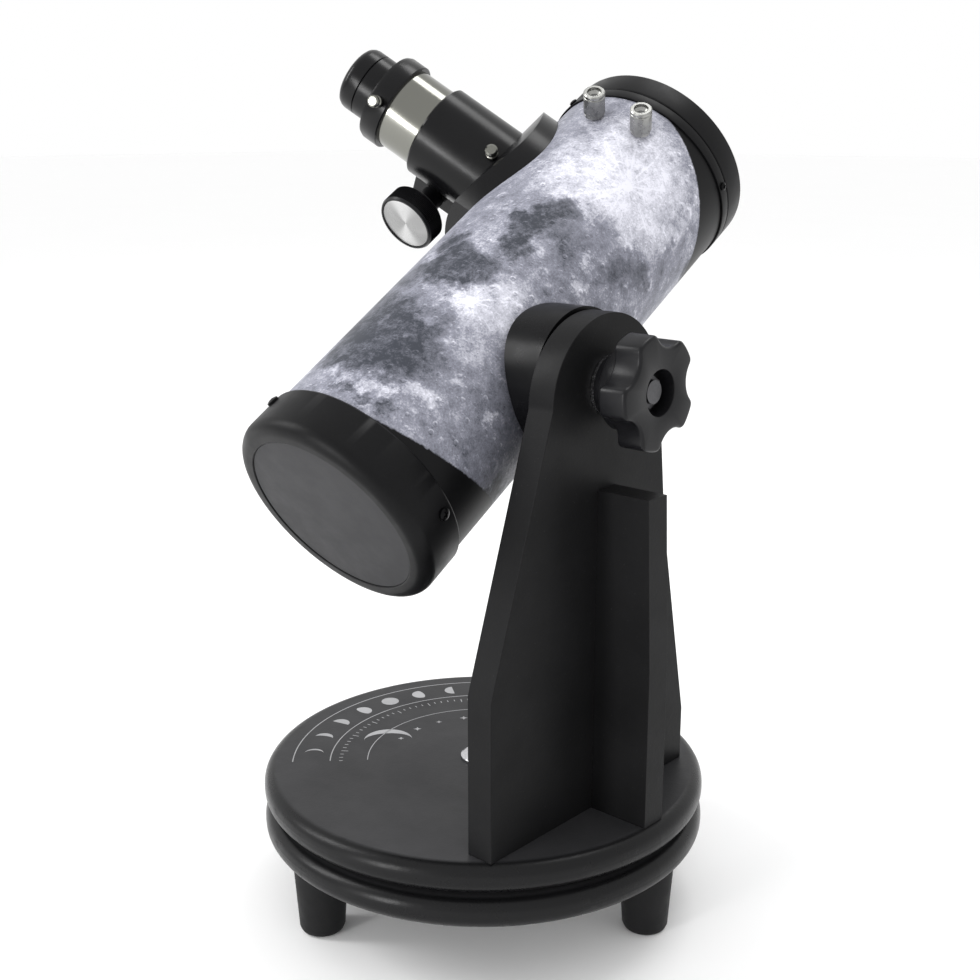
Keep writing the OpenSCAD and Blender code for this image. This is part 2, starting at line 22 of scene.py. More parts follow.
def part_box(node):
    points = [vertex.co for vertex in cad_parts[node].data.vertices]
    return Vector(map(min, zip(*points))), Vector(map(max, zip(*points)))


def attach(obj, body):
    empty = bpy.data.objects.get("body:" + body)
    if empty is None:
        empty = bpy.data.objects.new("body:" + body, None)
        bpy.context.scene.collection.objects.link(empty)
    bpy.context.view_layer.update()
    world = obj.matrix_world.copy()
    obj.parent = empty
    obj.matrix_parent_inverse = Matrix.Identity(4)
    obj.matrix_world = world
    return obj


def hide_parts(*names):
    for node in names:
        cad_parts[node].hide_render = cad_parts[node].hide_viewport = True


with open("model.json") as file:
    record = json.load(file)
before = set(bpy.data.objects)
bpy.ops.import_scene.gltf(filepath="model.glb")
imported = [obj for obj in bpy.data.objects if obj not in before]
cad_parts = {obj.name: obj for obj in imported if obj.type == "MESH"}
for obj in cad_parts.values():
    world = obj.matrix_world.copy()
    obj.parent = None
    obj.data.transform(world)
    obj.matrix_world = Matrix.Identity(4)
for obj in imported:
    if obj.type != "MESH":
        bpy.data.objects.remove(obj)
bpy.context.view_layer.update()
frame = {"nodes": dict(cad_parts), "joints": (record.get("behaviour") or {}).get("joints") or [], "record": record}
MM = 0.001
FULL_TURN = 2 * math.pi
LOG = logging.getLogger("telescope")

Color = tuple[float, float, float]
Outline = list[tuple[float, float]]


class Body(Enum):
    """The moving bodies that pieces ride on."""

    BASE = "base"
    TURNTABLE = "turntable"
    TUBE = "tube"
    TENSION_KNOB = "tension_knob"
    DUST_COVER = "dust_cover"
    FINDER_NUT_1 = "finder_nut_1"
    FINDER_NUT_2 = "finder_nut_2"
    FOCUS_PINION = "focus_pinion"
    FOCUS_LOCK = "focus_lock"
    DRAWTUBE = "drawtube"
    COLLAR_SCREW = "collar_screw"
    EYEPIECE = "eyepiece"


# ---------- Places ----------


def joint(name: str) -> dict:
    """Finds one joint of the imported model.

    Args:
        name: The joint's name.

    Returns:
        The joint's record, with its axis and its point where it has one.
    """
    return next(j for j in frame["joints"] if j["name"] == name)


def place_along(origin: Vector, axis: Vector, side: Vector) -> Matrix:
    """Makes the place of a turned piece.

    Args:
        origin: The point that becomes the piece's own origin.
        axis: The direction of the piece's own Z.
        side: The direction that the piece's own X leans towards.

    Returns:
        A matrix from the piece's own space to the shared frame.
    """
    z = axis.normalized()
    x = (side - z * side.dot(z)).normalized()
    turned = Matrix((x, z.cross(x), z)).transposed().to_4x4()
    turned.translation = origin
    return turned


@dataclass(frozen=True)
class Places:
    """The places that the sub-assemblies share.

    tube has its Z along the tube and its X along the altitude axis; focuser has its Z out
    along the focuser and its Y along the tube; pivot has its Z along the altitude axis.
    """

    tube: Matrix
    focuser: Matrix
    pivot: Matrix

    @classmethod
    def from_joints(cls, focuser_station: float = 98 * MM) -> Places:
        """Reads the places from the joints and the film's box.

        Args:
            focuser_station: Distance from the altitude axis to the focuser, along the tube.

        Returns:
            The shared places.
        """
        pivot = joint("altitude")
        pivot_axis = Vector(pivot["axis"])
        pivot_point = Vector(pivot["pos_m"])
        along = Vector(joint("dust_cover_pull")["axis"])
        low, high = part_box("moon_wrap")
        centre = pivot_point + pivot_axis * ((low.x + high.x) / 2)
        out = Vector(joint("focus_travel")["axis"])
        return cls(
            tube=place_along(centre, along, pivot_axis),
            focuser=place_along(centre + along * focuser_station, out, pivot_axis),
            pivot=place_along(pivot_point, pivot_axis, Vector((0, 1, 0))),
        )

    def on_joint(self, name: str) -> Matrix:
        """Gives the place whose Z is a joint's axis.

        Args:
            name: The joint's name.

        Returns:
            The place, its origin at the joint's point.
        """
        found = joint(name)
        return place_along(
            Vector(found["pos_m"]), Vector(found["axis"]), Vector((0.3, -0.2, 1))
        )


PLACES = Places.from_joints()
UPRIGHT = Matrix.Identity(4)


# ---------- Shader graphs ----------


class Graph:
    """A material's node tree, with short calls that add and link nodes."""

    def __init__(self, name: str) -> None:
        """Starts a material with one Principled shader.

        Args:
            name: The material's name.
        """
        self.material = bpy.data.materials.new(name)
        self.material.use_nodes = True
        self.tree = self.material.node_tree
        self.shader = self.tree.nodes["Principled BSDF"]
        self.object_space = self.add("ShaderNodeTexCoord").outputs["Object"]

    def put(self, socket: bpy.types.NodeSocket, value: object) -> None:
        """Links a socket to another, or sets its value.

        Args:
            socket: The input to feed.
            value: An output socket to link, or a plain value.
        """
        if isinstance(value, bpy.types.NodeSocket):
            self.tree.links.new(value, socket)
        else:
            socket.default_value = value

    def add(self, kind: str, inputs: dict | None = None, **settings: object) -> bpy.types.Node:
        """Adds a node.

        Args:
            kind: The node's type name.
            inputs: Values or sockets, by input name or number.
            settings: The node's own properties.

        Returns:
            The new node.
        """
        node = self.tree.nodes.new(kind)
        for key, value in settings.items():
            setattr(node, key, value)
        for key, value in (inputs or {}).items():
            self.put(node.inputs[key], value)
        return node

    def noise(self, scale: float, detail: float = 4, rough: float = 0.55,
              at: bpy.types.NodeSocket | None = None) -> bpy.types.NodeSocket:
        """Adds a noise texture.

        Args:
            scale: Features per metre.
            detail: Number of octaves.
            rough: Strength of each finer octave.
            at: Coordinates, or None for the object's own.

        Returns:
            The noise's value, from 0 to 1.
        """
        return self.add("ShaderNodeTexNoise", {
            "Vector": at or self.object_space, "Scale": scale, "Detail": detail,
            "Roughness": rough,
        }).outputs["Fac"]

    def math(self, operation: str, *values: object) -> bpy.types.NodeSocket:
        """Adds a Math node and gives its result."""
        return self.add("ShaderNodeMath", dict(enumerate(values)),
                        operation=operation).outputs[0]

    def vector(self, operation: str, *values: object, result: str = "Vector"
               ) -> bpy.types.NodeSocket:
        """Adds a Vector Math node and gives its result."""
        return self.add("ShaderNodeVectorMath", dict(enumerate(values)),
                        operation=operation).outputs[result]

    def spread(self, value: object, low: float, high: float, to_low: float = 0.0,
               to_high: float = 1.0) -> bpy.types.NodeSocket:
        """Maps a value smoothly from one range to another.

        Args:
            value: The value or socket to map.
            low: Where the result starts to leave to_low.
            high: Where the result reaches to_high.
            to_low: Result at low.
            to_high: Result at high.

        Returns:
            The mapped value.
        """
        return self.add("ShaderNodeMapRange", {
            "Value": value, "From Min": low, "From Max": high, "To Min": to_low,
            "To Max": to_high,
        }, interpolation_type="SMOOTHSTEP").outputs["Result"]

    def ramp(self, value: object, low: float, high: float) -> bpy.types.NodeSocket:
        """Maps a value in a straight line and clamps it.

        Args:
            value: The value or socket to map.
            low: Where the result is 0.
            high: Where the result is 1.

        Returns:
            The mapped value.
        """
        return self.add("ShaderNodeMapRange", {
            "Value": value, "From Min": low, "From Max": high,
        }).outputs["Result"]

    def scaled(self, value: object, factor: float) -> bpy.types.NodeSocket:
        """Scales a vector and gives the result."""
        return self.add("ShaderNodeVectorMath", {0: value, "Scale": factor},
                        operation="SCALE").outputs["Vector"]

    def mix(self, factor: object, first: object, second: object) -> bpy.types.NodeSocket:
        """Mixes two colours.

        Args:
            factor: The second colour's share.
            first: A colour or a socket.
            second: A colour or a socket.

        Returns:
            The mixed colour.
        """
        node = self.add("ShaderNodeMix", {"Factor": factor}, data_type="RGBA")
        for number, value in ((6, first), (7, second)):
            self.put(node.inputs[number],
                     (*value, 1.0) if isinstance(value, tuple) else value)
        return node.outputs[2]

    def local(self, place: Matrix) -> bpy.types.NodeSocket:
        """Turns the object's coordinates into a place's own ones.

        Args:
            place: From the place's own space to the shared frame.

        Returns:
            The coordinates.
        """
        back = place.inverted()
        return self.add("ShaderNodeMapping", {
            "Vector": self.object_space, "Location": back.to_translation(),
            "Rotation": back.to_euler(),
        }).outputs["Vector"]

    def bump(self, height: object, depth: float, strength: float = 1.0) -> None:
        """Bends the shader's normals by a height.

        Args:
            height: The height's socket, from 0 to 1.
            depth: What 1 stands for, in metres.
            strength: How much of the bend is kept.
        """
        node = self.add("ShaderNodeBump", {
            "Height": height, "Distance": depth, "Strength": strength,
        })
        self.put(self.shader.inputs["Normal"], node.outputs["Normal"])

    def set(self, **values: object) -> None:
        """Sets inputs of the shader.

        Args:
            values: Values or sockets, by input name with _ for a space.
        """
        for key, value in values.items():
            name = key.replace("_", " ")
            if isinstance(value, tuple) and len(value) == 3:
                value = (*value, 1.0)
            self.put(self.shader.inputs[name], value)


@dataclass(frozen=True)
class SatinFinish:
    """Paint, moulded plastic, rubber or felt: one colour with small changes in it.

    grain is the size of the surface's texture in features per metre, depth its height in
    metres, mottle how far the colour drifts, and shine the strength of its highlights.
    """

    name: str
    color: Color
    roughness: float
    grain: float = 900.0
    depth: float = 0.00002
    mottle: float = 0.25
    metallic: float = 0.0
    sheen: float = 0.0
    shine: float = 0.2

    def material(self) -> bpy.types.Material:
        """Builds the finish.

        Returns:
            The new material.
        """
        g = Graph(self.name)
        drift = g.noise(38, 3)
        darker = tuple(c * (1 - self.mottle) for c in self.color)
        lighter = tuple(c * (1 + self.mottle) for c in self.color)
        fleck = g.noise(self.grain, 3, 0.6)
        blend = g.math("ADD", g.math("MULTIPLY", drift, 0.6), g.math("MULTIPLY", fleck, 0.4))
        g.set(
            Base_Color=g.mix(g.spread(blend, 0.35, 0.65), darker, lighter),
            Roughness=g.spread(g.noise(70, 5, 0.65), 0.3, 0.7, self.roughness * 0.86,
                               self.roughness * 1.12),
            Metallic=self.metallic, Sheen_Weight=self.sheen, Sheen_Roughness=0.4,
            Specular_IOR_Level=self.shine,
        )
        g.bump(fleck, self.depth)
        return g.material


class Lay(Enum):
    """The way that a metal's fine tool marks run."""

    ROUND = "round"
    ALONG = "along"
    NONE = "none"


@dataclass(frozen=True)
class MetalFinish:
    """Bare or plated metal with fine tool marks about a place's Z axis.

    smear draws the light out across round marks, and it also turns on a painted sheen: a pale fan painted into the
    colour at the fan's turn, a painted highlight rather than a lit one.
    """

    name: str
    color: Color
    roughness: float
    lay: Lay = Lay.NONE
    place: Matrix | None = None
    depth: float = 0.000004
    smear_and_painted_sheen: float = 0.0
    painted_fan_turn: float = 0.0

    def material(self) -> bpy.types.Material:
        """Builds the finish.

        Returns:
            The new material.
        """
        g = Graph(self.name)
        at = g.local(self.place) if self.place else g.object_space
        apart = g.add("ShaderNodeSeparateXYZ", {"Vector": at}).outputs
        radius = g.math("SQRT", g.math("ADD", g.math("MULTIPLY", apart["X"], apart["X"]),
                                       g.math("MULTIPLY", apart["Y"], apart["Y"])))
        across = {Lay.ROUND: radius, Lay.ALONG: apart["Z"], Lay.NONE: apart["X"]}[self.lay]
        lines = g.add("ShaderNodeTexNoise", {"W": across, "Scale": 5200.0, "Detail": 3.0},
                      noise_dimensions="1D").outputs["Fac"]
        cloud = g.noise(60, 5, 0.6)
        marks = lines if self.lay is not Lay.NONE else g.noise(500, 4)
        darker = tuple(c * 0.82 for c in self.color)
        color = g.mix(g.spread(marks, 0.3, 0.7), darker, self.color)
        if self.smear_and_painted_sheen:
            # Painted sheen: a pale fan painted into the colour at a fixed turn about the axis, standing in for the
            # highlight of brushed metal.
            angle = g.math("ARCTAN2", apart["Y"], apart["X"])
            painted_fan = g.math("ABSOLUTE", g.math("COSINE", g.math("ADD", angle, self.painted_fan_turn)))
            sheen = g.math("MULTIPLY", g.spread(g.math("POWER", painted_fan, 5.0), 0.0, 1.0), 0.8)
            color = g.mix(sheen, color, tuple(min(1.0, c * 1.9) for c in self.color))
        g.set(
            Base_Color=color,
            Roughness=g.math("ADD", g.spread(marks, 0.25, 0.75, self.roughness * 0.8,
                                             self.roughness * 1.15),
                             g.spread(cloud, 0.4, 0.8, 0.0, 0.06)),
            Metallic=1.0, Anisotropic=self.smear_and_painted_sheen,
        )
        if self.smear_and_painted_sheen and self.place:
            axis = tuple(self.place.to_3x3().col[2])
            offset = g.vector("SUBTRACT", g.object_space, tuple(self.place.translation))
            g.set(Tangent=g.vector("NORMALIZE", g.vector("CROSS_PRODUCT", offset, axis)))
        g.bump(marks, self.depth)
        return g.material


@dataclass(frozen=True)
class BoardFinish:
    """Black paint on fibreboard: rolled texture with a dull sheen and rubbed patches.

    Past the distance rim from the upright axis the paint is smoother and darker.
    """

    name: str
    color: Color
    roughness: float
    shine: float = 0.18
    rim: float | None = None
    rim_color: Color = (0.006, 0.006, 0.0065)

    def material(self) -> bpy.types.Material:
        """Builds the finish.

        Returns:
            The new material.
        """
        g = Graph(self.name)
        peel = g.noise(650, 2, 0.5)
        pores = g.noise(2600, 2, 0.5)
        cloud = g.noise(14, 4, 0.6)
        dust = g.spread(g.noise(1500, 1), 0.74, 0.8)
        base = g.mix(g.spread(cloud, 0.3, 0.7), tuple(c * 0.8 for c in self.color),
                     tuple(c * 1.2 for c in self.color))
        color = g.mix(g.math("MULTIPLY", dust, 0.25), base, (0.10, 0.10, 0.10))
        rough = g.spread(g.noise(30, 5, 0.65), 0.3, 0.72, self.roughness * 0.88,
                         self.roughness * 1.15)
        if self.rim:
            level = g.vector("MULTIPLY", g.object_space, (1.0, 1.0, 0.0))
            past = g.spread(g.vector("LENGTH", level, result="Value"), self.rim - 2.5 * MM,
                            self.rim)
            color = g.mix(past, color, self.rim_color)
            rough = g.math("SUBTRACT", rough, g.math("MULTIPLY", past, 0.16))
        g.set(Base_Color=color, Roughness=rough, Specular_IOR_Level=self.shine)
        g.bump(g.math("ADD", peel, g.math("MULTIPLY", pores, 0.4)), 0.000045)
        return g.material


@dataclass(frozen=True)
class Spot:
    """A round patch on the film, in millimetres round and along it.

    strength runs from 0 to 1, and soft is the part of the radius over which it fades.
    """

    around: float
    along: float
    radius: float
    strength: float = 1.0
    soft: float = 0.4

    @property
    def centre(self) -> tuple[float, float, float]:
        """The patch's centre in the film's own coordinates, in metres."""
        return (self.around * MM, self.along * MM, 0.0)


@dataclass(frozen=True)
class LunarFilm:
    """Printed film with a moon surface: dark plains, pale highlands, craters and rays.

    Places are on the unrolled film, measured round it from the tube's upper side and along
    it from the altitude axis. Each of the ends is a middle place and a swing along the tube
    in millimetres, the angle where the swing is greatest, and which way the picture lies.
    Two of the dark patches, on the arm's side just behind the altitude axis, are painted
    shadow of the pivot boss and the arm rather than plains.
    """

    name: str = "moon_print"
    map_name: str = "film"
    radius: float = 49 * MM
    ends: tuple[tuple[float, float, float, float], ...] = (
        (-60, -20, 12, 1), (126, 23.6, 5, -1),
    )
    plains_and_painted_shade: tuple[Spot, ...] = (
        Spot(2, -45, 19), Spot(16, -43, 17), Spot(2, -31, 15), Spot(20, -30, 12, 0.9, 0.6),
        Spot(-8, -50, 14), Spot(-14, -34, 15, 1.0, 0.6), Spot(27, -44, 10, 0.8, 0.7),
        Spot(-16, -16, 11, 0.8, 0.6), Spot(-15, 3, 9, 0.8, 0.6), Spot(0, 8, 10),
        Spot(3, 17, 9), Spot(14, 11, 11), Spot(21, 17, 7, 0.8, 0.6), Spot(-9, 25, 8, 0.9),
        Spot(11, 4, 7), Spot(23, 34, 7), Spot(21, 43, 8), Spot(24, 52, 9), Spot(27, 60, 8),
        Spot(29, 67, 7), Spot(15, 50, 5), Spot(41, 45, 11, 0.42, 0.6),
        Spot(41, 58, 13, 0.48, 0.5), Spot(50, 65, 9, 0.42, 0.5), Spot(34, 53, 8, 0.7, 0.5),
        Spot(66, 61, 8, 0.8, 0.6), Spot(71, 70, 7, 0.85, 0.6), Spot(78, 73, 6, 0.7, 0.6),
        Spot(60, 52, 5, 0.5, 0.6), Spot(86, 91, 9, 0.35, 0.7), Spot(89, 103, 7, 0.3, 0.7),
        Spot(4, -72, 3, 0.6, 0.6), Spot(12, -71.5, 2.6, 0.6, 0.6), Spot(21, -72.5, 3, 0.8, 0.6),
        # Painted shadow: Spot(66, -32) on this line and Spot(78, -56) on the next darken the film where the pivot
        # boss and the arm shade it.
        Spot(30, -71.5, 3.2, 0.7, 0.6), Spot(66, -32, 12, 0.35, 0.7),
        Spot(78, -56, 12, 0.4, 0.7), Spot(-48, -34, 15), Spot(-58, -20, 14), Spot(-66, -3, 12),
        Spot(-58, 12, 9), Spot(-44, 40, 10), Spot(-52, 52, 8), Spot(-70, 36, 13),
        Spot(-84, 48, 11), Spot(-90, -24, 12), Spot(-98, -12, 9), Spot(-108, 66, 13),
        Spot(-120, 82, 10), Spot(118, 4, 14), Spot(128, 18, 12), Spot(114, 26, 8),
        Spot(138, -46, 13), Spot(146, -60, 9), Spot(110, 116, 9), Spot(-132, -44, 13),
        Spot(-120, -32, 9), Spot(102, -56, 10), Spot(148, 54, 13), Spot(140, 68, 11),
    )
    pale: tuple[Spot, ...] = (
        Spot(43, 97, 25, 0.85, 0.22), Spot(43, 100, 34, 0.75, 0.6), Spot(22, 90, 17, 0.7, 0.5),
        Spot(60, 101, 16, 0.5, 0.8),
        Spot(48, 116, 17, 0.6, 0.8), Spot(18, 110, 14, 0.45, 0.8), Spot(45, 84, 13, 0.7, 0.3),
        Spot(26, -5, 9, 0.85, 0.8), Spot(37, -1, 15, 0.6, 0.8), Spot(33, 10, 9, 0.4, 0.7),
        Spot(38, -20, 10, 0.4, 0.8), Spot(-4, -66, 3.5, 0.4, 0.4), Spot(6, -66, 4, 0.5, 0.4),
        Spot(16, -65, 4.5, 0.5, 0.4), Spot(26, -62, 4.5, 0.5, 0.4), Spot(35, -58, 4.5, 0.5, 0.5),
        Spot(43, -53, 4.5, 0.4, 0.6),
        Spot(66, -42, 3, 0.8, 0.6), Spot(57, 38, 4.5, 0.65, 0.6), Spot(56, 51, 3.5, 0.6, 0.6),
        Spot(7, 30, 8, 0.35, 0.7), Spot(-13, 12, 5, 0.5, 0.7), Spot(32, 40, 6, 0.4, 0.7),
        Spot(18, -22, 3, 0.45, 0.7), Spot(-2, -29, 3, 0.4, 0.7), Spot(-24, 50, 12, 0.2, 0.8),
        Spot(-70, -60, 18, 0.6, 0.8), Spot(118, -22, 20, 0.6, 0.8), Spot(-105, 15, 16, 0.6, 0.8),
        Spot(-60, 100, 20, 0.5, 0.8), Spot(135, 100, 20, 0.5, 0.8),
    )
    rayed: tuple[Spot, ...] = (
        Spot(43, 97, 58, 0.9), Spot(26, -5, 30, 0.7), Spot(19, -24, 9, 0.4),
        Spot(-70, -60, 36, 0.7), Spot(118, -22, 40, 0.7), Spot(-105, 15, 32, 0.7),
    )
    border_color: Color = (0.0035, 0.0035, 0.004)
    plain_and_shade_color: Color = (0.042, 0.046, 0.058)
    highland_color: Color = (0.255, 0.26, 0.31)
    bright_color: Color = (0.78, 0.78, 0.86)

    def patches(self, g: Graph, at: bpy.types.NodeSocket, spots: tuple[Spot, ...]
                ) -> bpy.types.NodeSocket:
        """Joins round patches into one mask.

        Args:
            g: The graph to add to.
            at: The film's coordinates, already warped.
            spots: The patches.

        Returns:
            The mask, from 0 to 1.
        """
        mask: object = 0.0
        for spot in spots:
            far = g.vector("DISTANCE", at, spot.centre, result="Value")
            radius = spot.radius * MM
            one = g.spread(far, radius * (1 + spot.soft), radius * (1 - spot.soft), 0.0,
                           spot.strength)
            mask = g.math("MAXIMUM", mask, one)
        return mask

    def craters(self, g: Graph, scale: float, depth: float) -> bpy.types.NodeSocket:
        """Adds a field of small craters, each lit from one side.

        Args:
            g: The graph to add to.
            scale: Craters per metre.
            depth: How strong their light and shade are.

        Returns:
            A value round 0: above it on a lit rim, below it in a shaded one.
        """
        cells = g.add("ShaderNodeTexVoronoi", {
            "Vector": g.object_space, "Scale": scale, "Randomness": 1.0,
        })
        size = g.add("ShaderNodeSeparateColor", {"Color": cells.outputs["Color"]}).outputs[0]
        radius = g.spread(size, 0.35, 1.0, 0.05, 0.32)
        reach = g.math("DIVIDE", cells.outputs["Distance"], radius)
        rim = g.math("MULTIPLY", g.spread(reach, 0.45, 0.85), g.spread(reach, 1.35, 0.95))
        offset = g.vector("SUBTRACT", g.object_space, cells.outputs["Position"])
        aside = g.vector("DOT_PRODUCT", offset, (-0.5, 0.65, 0.55), result="Value")
        light = g.spread(g.math("MULTIPLY", aside, scale * 4), -1.0, 1.0, -0.7, 1.0)
        floor = g.spread(reach, 0.75, 0.35, 0.0, -0.22)
        both = g.math("ADD", g.math("MULTIPLY", rim, light), floor)
        return g.math("MULTIPLY", both, depth)

    def rays(self, g: Graph, at: bpy.types.NodeSocket, spot: Spot) -> bpy.types.NodeSocket:
        """Adds one bright crater with thin streaks that run out from it.

        Args:
            g: The graph to add to.
            at: The film's coordinates.
            spot: The crater, its radius being the streaks' reach.

        Returns:
            How bright the crater and its streaks are, from 0 up.
        """
        offset = g.vector("SUBTRACT", at, spot.centre)
        far = g.vector("LENGTH", offset, result="Value")
        turned = g.scaled(g.vector("NORMALIZE", offset), 7.5)
        drift = g.vector("MULTIPLY", offset, (24.0, 24.0, 0.0))
        streak = g.noise(1.0, 5, 0.62, at=g.vector("ADD", turned, drift))
        radius = spot.radius * MM
        fade = g.math("POWER", g.spread(far, radius, 0.0), 1.2)
        lines = g.math("MULTIPLY", g.spread(streak, 0.52, 0.68), fade)
        core = g.spread(far, 3 * MM, 0.8 * MM, 0.0, 0.5)
        ring = g.math("MULTIPLY", g.spread(far, 1.4 * MM, 1.9 * MM),
                      g.spread(far, 3.2 * MM, 2.4 * MM, 0.0, 0.5))
        total = g.math("ADD", g.math("ADD", lines, core), ring)
        return g.math("MULTIPLY", total, spot.strength)

    def inside_print(self, g: Graph, flat: bpy.types.NodeSocket) -> bpy.types.NodeSocket:
        """Masks the printed picture, whose two ends are cut aslant to the tube.

        Args:
            g: The graph to add to.
            flat: The film's coordinates.

        Returns:
            The mask, 1 on the picture and 0 on the plain black ends.
        """
        apart = g.add("ShaderNodeSeparateXYZ", {"Vector": flat}).outputs
        turn = g.math("DIVIDE", apart["X"], self.radius)
        ragged = g.math("MULTIPLY", g.math("SUBTRACT", g.noise(700, 4), 0.5), 1.6 * MM)
        mask: object = 1.0
        for middle, swing, lean, way in self.ends:
            wave = g.math("COSINE", g.math("SUBTRACT", turn, math.radians(lean)))
            edge = g.math("ADD", g.math("MULTIPLY", wave, swing * MM), middle * MM)
            depth = g.math("MULTIPLY", g.math("SUBTRACT", apart["Y"], edge), way)
            inside = g.spread(g.math("ADD", depth, ragged), -0.5 * MM, 0.5 * MM)
            mask = g.math("MULTIPLY", mask, inside)
        return mask

    def material(self) -> bpy.types.Material:
        """Builds the finish.

        Returns:
            The new material.
        """
        g = Graph(self.name)
        flat = g.add("ShaderNodeUVMap", uv_map=self.map_name).outputs["UV"]
        wide = g.add("ShaderNodeTexNoise", {"Vector": g.object_space, "Scale": 75.0,
                                            "Detail": 8.0, "Roughness": 0.7}).outputs["Color"]
        shift = g.scaled(g.vector("SUBTRACT", wide, (0.5, 0.5, 0.5)), 0.03)
        warped = g.vector("ADD", flat, g.vector("MULTIPLY", shift, (1.0, 1.0, 0.0)))
        plains_and_painted_shade = self.patches(g, warped, self.plains_and_painted_shade)
        pale = self.patches(g, warped, self.pale)
        rays: object = 0.0
        for spot in self.rayed:
            rays = g.math("MAXIMUM", rays, self.rays(g, flat, spot))
        relief = g.math("MULTIPLY", g.math("SUBTRACT", g.noise(120, 10, 0.74), 0.5), 1.25)
        grit = g.math("MULTIPLY", g.math("SUBTRACT", g.noise(1100, 4, 0.7), 0.5), 0.7)
        small = g.math("ADD", self.craters(g, 95, 0.2), self.craters(g, 260, 0.26))
        small = g.math("ADD", small, self.craters(g, 620, 0.22))
        rough = g.math("ADD", g.math("ADD", relief, grit), small)
        broken = g.spread(g.noise(260, 8, 0.75), 0.3, 0.7, 0.72, 1.15)
        plains_and_painted_shade = g.math("MULTIPLY", plains_and_painted_shade, broken)
        quiet = g.spread(plains_and_painted_shade, 0.0, 1.0, 1.0, 0.6)
        level = g.math("ADD", g.math("MULTIPLY", rough, quiet), 0.46)
        level = g.math("ADD", level, g.math("MULTIPLY", pale, 0.5))
        # Darkens the plains, and with them the painted shadow patches among them.
        level = g.math("SUBTRACT", level, g.math("MULTIPLY", plains_and_painted_shade, 0.46))
        level = g.math("ADD", level, g.math("MULTIPLY", rays, 0.27))
        tone = g.mix(g.ramp(level, 0.0, 0.5), self.plain_and_shade_color, self.highland_color)
        tone = g.mix(g.ramp(level, 0.5, 1.0), tone, self.bright_color)
        mask = self.inside_print(g, flat)
        g.set(
            Base_Color=g.mix(mask, self.border_color, tone),
            Roughness=g.spread(mask, 0.0, 1.0, 0.4, 0.42), Specular_IOR_Level=0.14,
        )
        g.bump(g.noise(420, 3), 0.00001)
        return g.material


@dataclass(frozen=True)
class GlassFinish:
    """Coated lens glass, or a silvered mirror."""

    name: str
    color: Color
    mirror: bool

    def material(self) -> bpy.types.Material:
        """Builds the finish.

        Returns:
            The new material.
        """
        g = Graph(self.name)
        dust = g.spread(g.noise(420, 5, 0.7), 0.55, 0.8, 0.02, 0.12)
        if self.mirror:
            g.set(Base_Color=self.color, Metallic=1.0, Roughness=dust)
        else:
            g.set(Base_Color=self.color, Roughness=dust, Transmission_Weight=0.85, IOR=1.52,
                  Coat_Weight=0.6, Coat_Tint=(0.55, 0.75, 1.0))
        g.bump(g.noise(300, 2), 0.000001)
        return g.material


class Palette:
    """Every material, made once and shared by the pieces."""

    other = {"pivot_bolt": "dark_steel", "knob_insert": "dark_steel"}

    def __init__(self) -> None:
        """Builds the materials."""
        black = (0.0035, 0.0035, 0.004)
        finishes = [
            BoardFinish("base_board", (0.033, 0.033, 0.035), 0.46, rim=101.5 * MM),
            BoardFinish("arm_board", (0.0085, 0.0085, 0.009), 0.42, 0.1),
            SatinFinish("foot_rubber", (0.006, 0.006, 0.0065), 0.55, 1400, 0.00003),
            SatinFinish("slip_pad", (0.62, 0.62, 0.59), 0.4),
            SatinFinish("white_ink", (0.42, 0.42, 0.43), 0.5, 2500, 0.00001, 0.12),
            MetalFinish("zinc_steel", (0.62, 0.62, 0.64), 0.24),
            SatinFinish("black_steel", black, 0.3, 900, 0.00001, 0.2, 0.6),
            SatinFinish("dark_steel", (0.10, 0.10, 0.105), 0.35, 900, 0.00001, 0.2, 0.9),
            MetalFinish("bronze_bush", (0.62, 0.46, 0.24), 0.3),
            SatinFinish("pivot_plastic", black, 0.3, 500, 0.000006, 0.2, shine=0.1),
            SatinFinish("felt_washer", (0.008, 0.008, 0.008), 0.95, 1800, 0.0002, sheen=0.3),
            SatinFinish("knob_plastic", (0.006, 0.006, 0.007), 0.34, 2200, 0.00003),
            SatinFinish("tube_wall", (0.008, 0.008, 0.009), 0.75, 1500, 0.00003),
            SatinFinish("cell_plastic", black, 0.4, 700, 0.000006, 0.2, shine=0.14),
            SatinFinish("disc_label", (0.05, 0.05, 0.052), 0.7, 2600, 0.00001, 0.0, shine=0.1),
            GlassFinish("mirror_glass", (0.9, 0.92, 0.95), True),
            SatinFinish("black_alloy", black, 0.24, 1200, 0.000006, 0.2),
            MetalFinish("chromed_tube", (0.21, 0.21, 0.19), 0.13, Lay.ALONG, PLACES.focuser,
                        0.0000004),
            MetalFinish("bright_alloy", (0.33, 0.33, 0.33), 0.30, Lay.ROUND,
                        PLACES.on_joint("focus_turn"), 0.000006, 0.85),
            MetalFinish("nickel_brass", (0.36, 0.36, 0.345), 0.30),
            MetalFinish("rack_steel", (0.45, 0.45, 0.45), 0.35),
            MetalFinish("gear_brass", (0.72, 0.55, 0.26), 0.28),
            GlassFinish("lens_glass", (0.80, 0.88, 0.95), False),
            LunarFilm(),
        ]
        self.materials = {one.name: one.material() for one in finishes}

    def __getitem__(self, name: str) -> bpy.types.Material:
        """Gives a material by its name."""
        return self.materials[name]

    def dress_nodes(self) -> None:
        """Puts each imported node's finish on the node itself."""
        for row in frame["record"]["subparts"]:
            mesh = frame["nodes"][row["node"]].data
            mesh.materials.clear()
            name = self.other.get(row["node"], row["material_slot"])
            mesh.materials.append(self[name])


# ---------- Shapes ----------


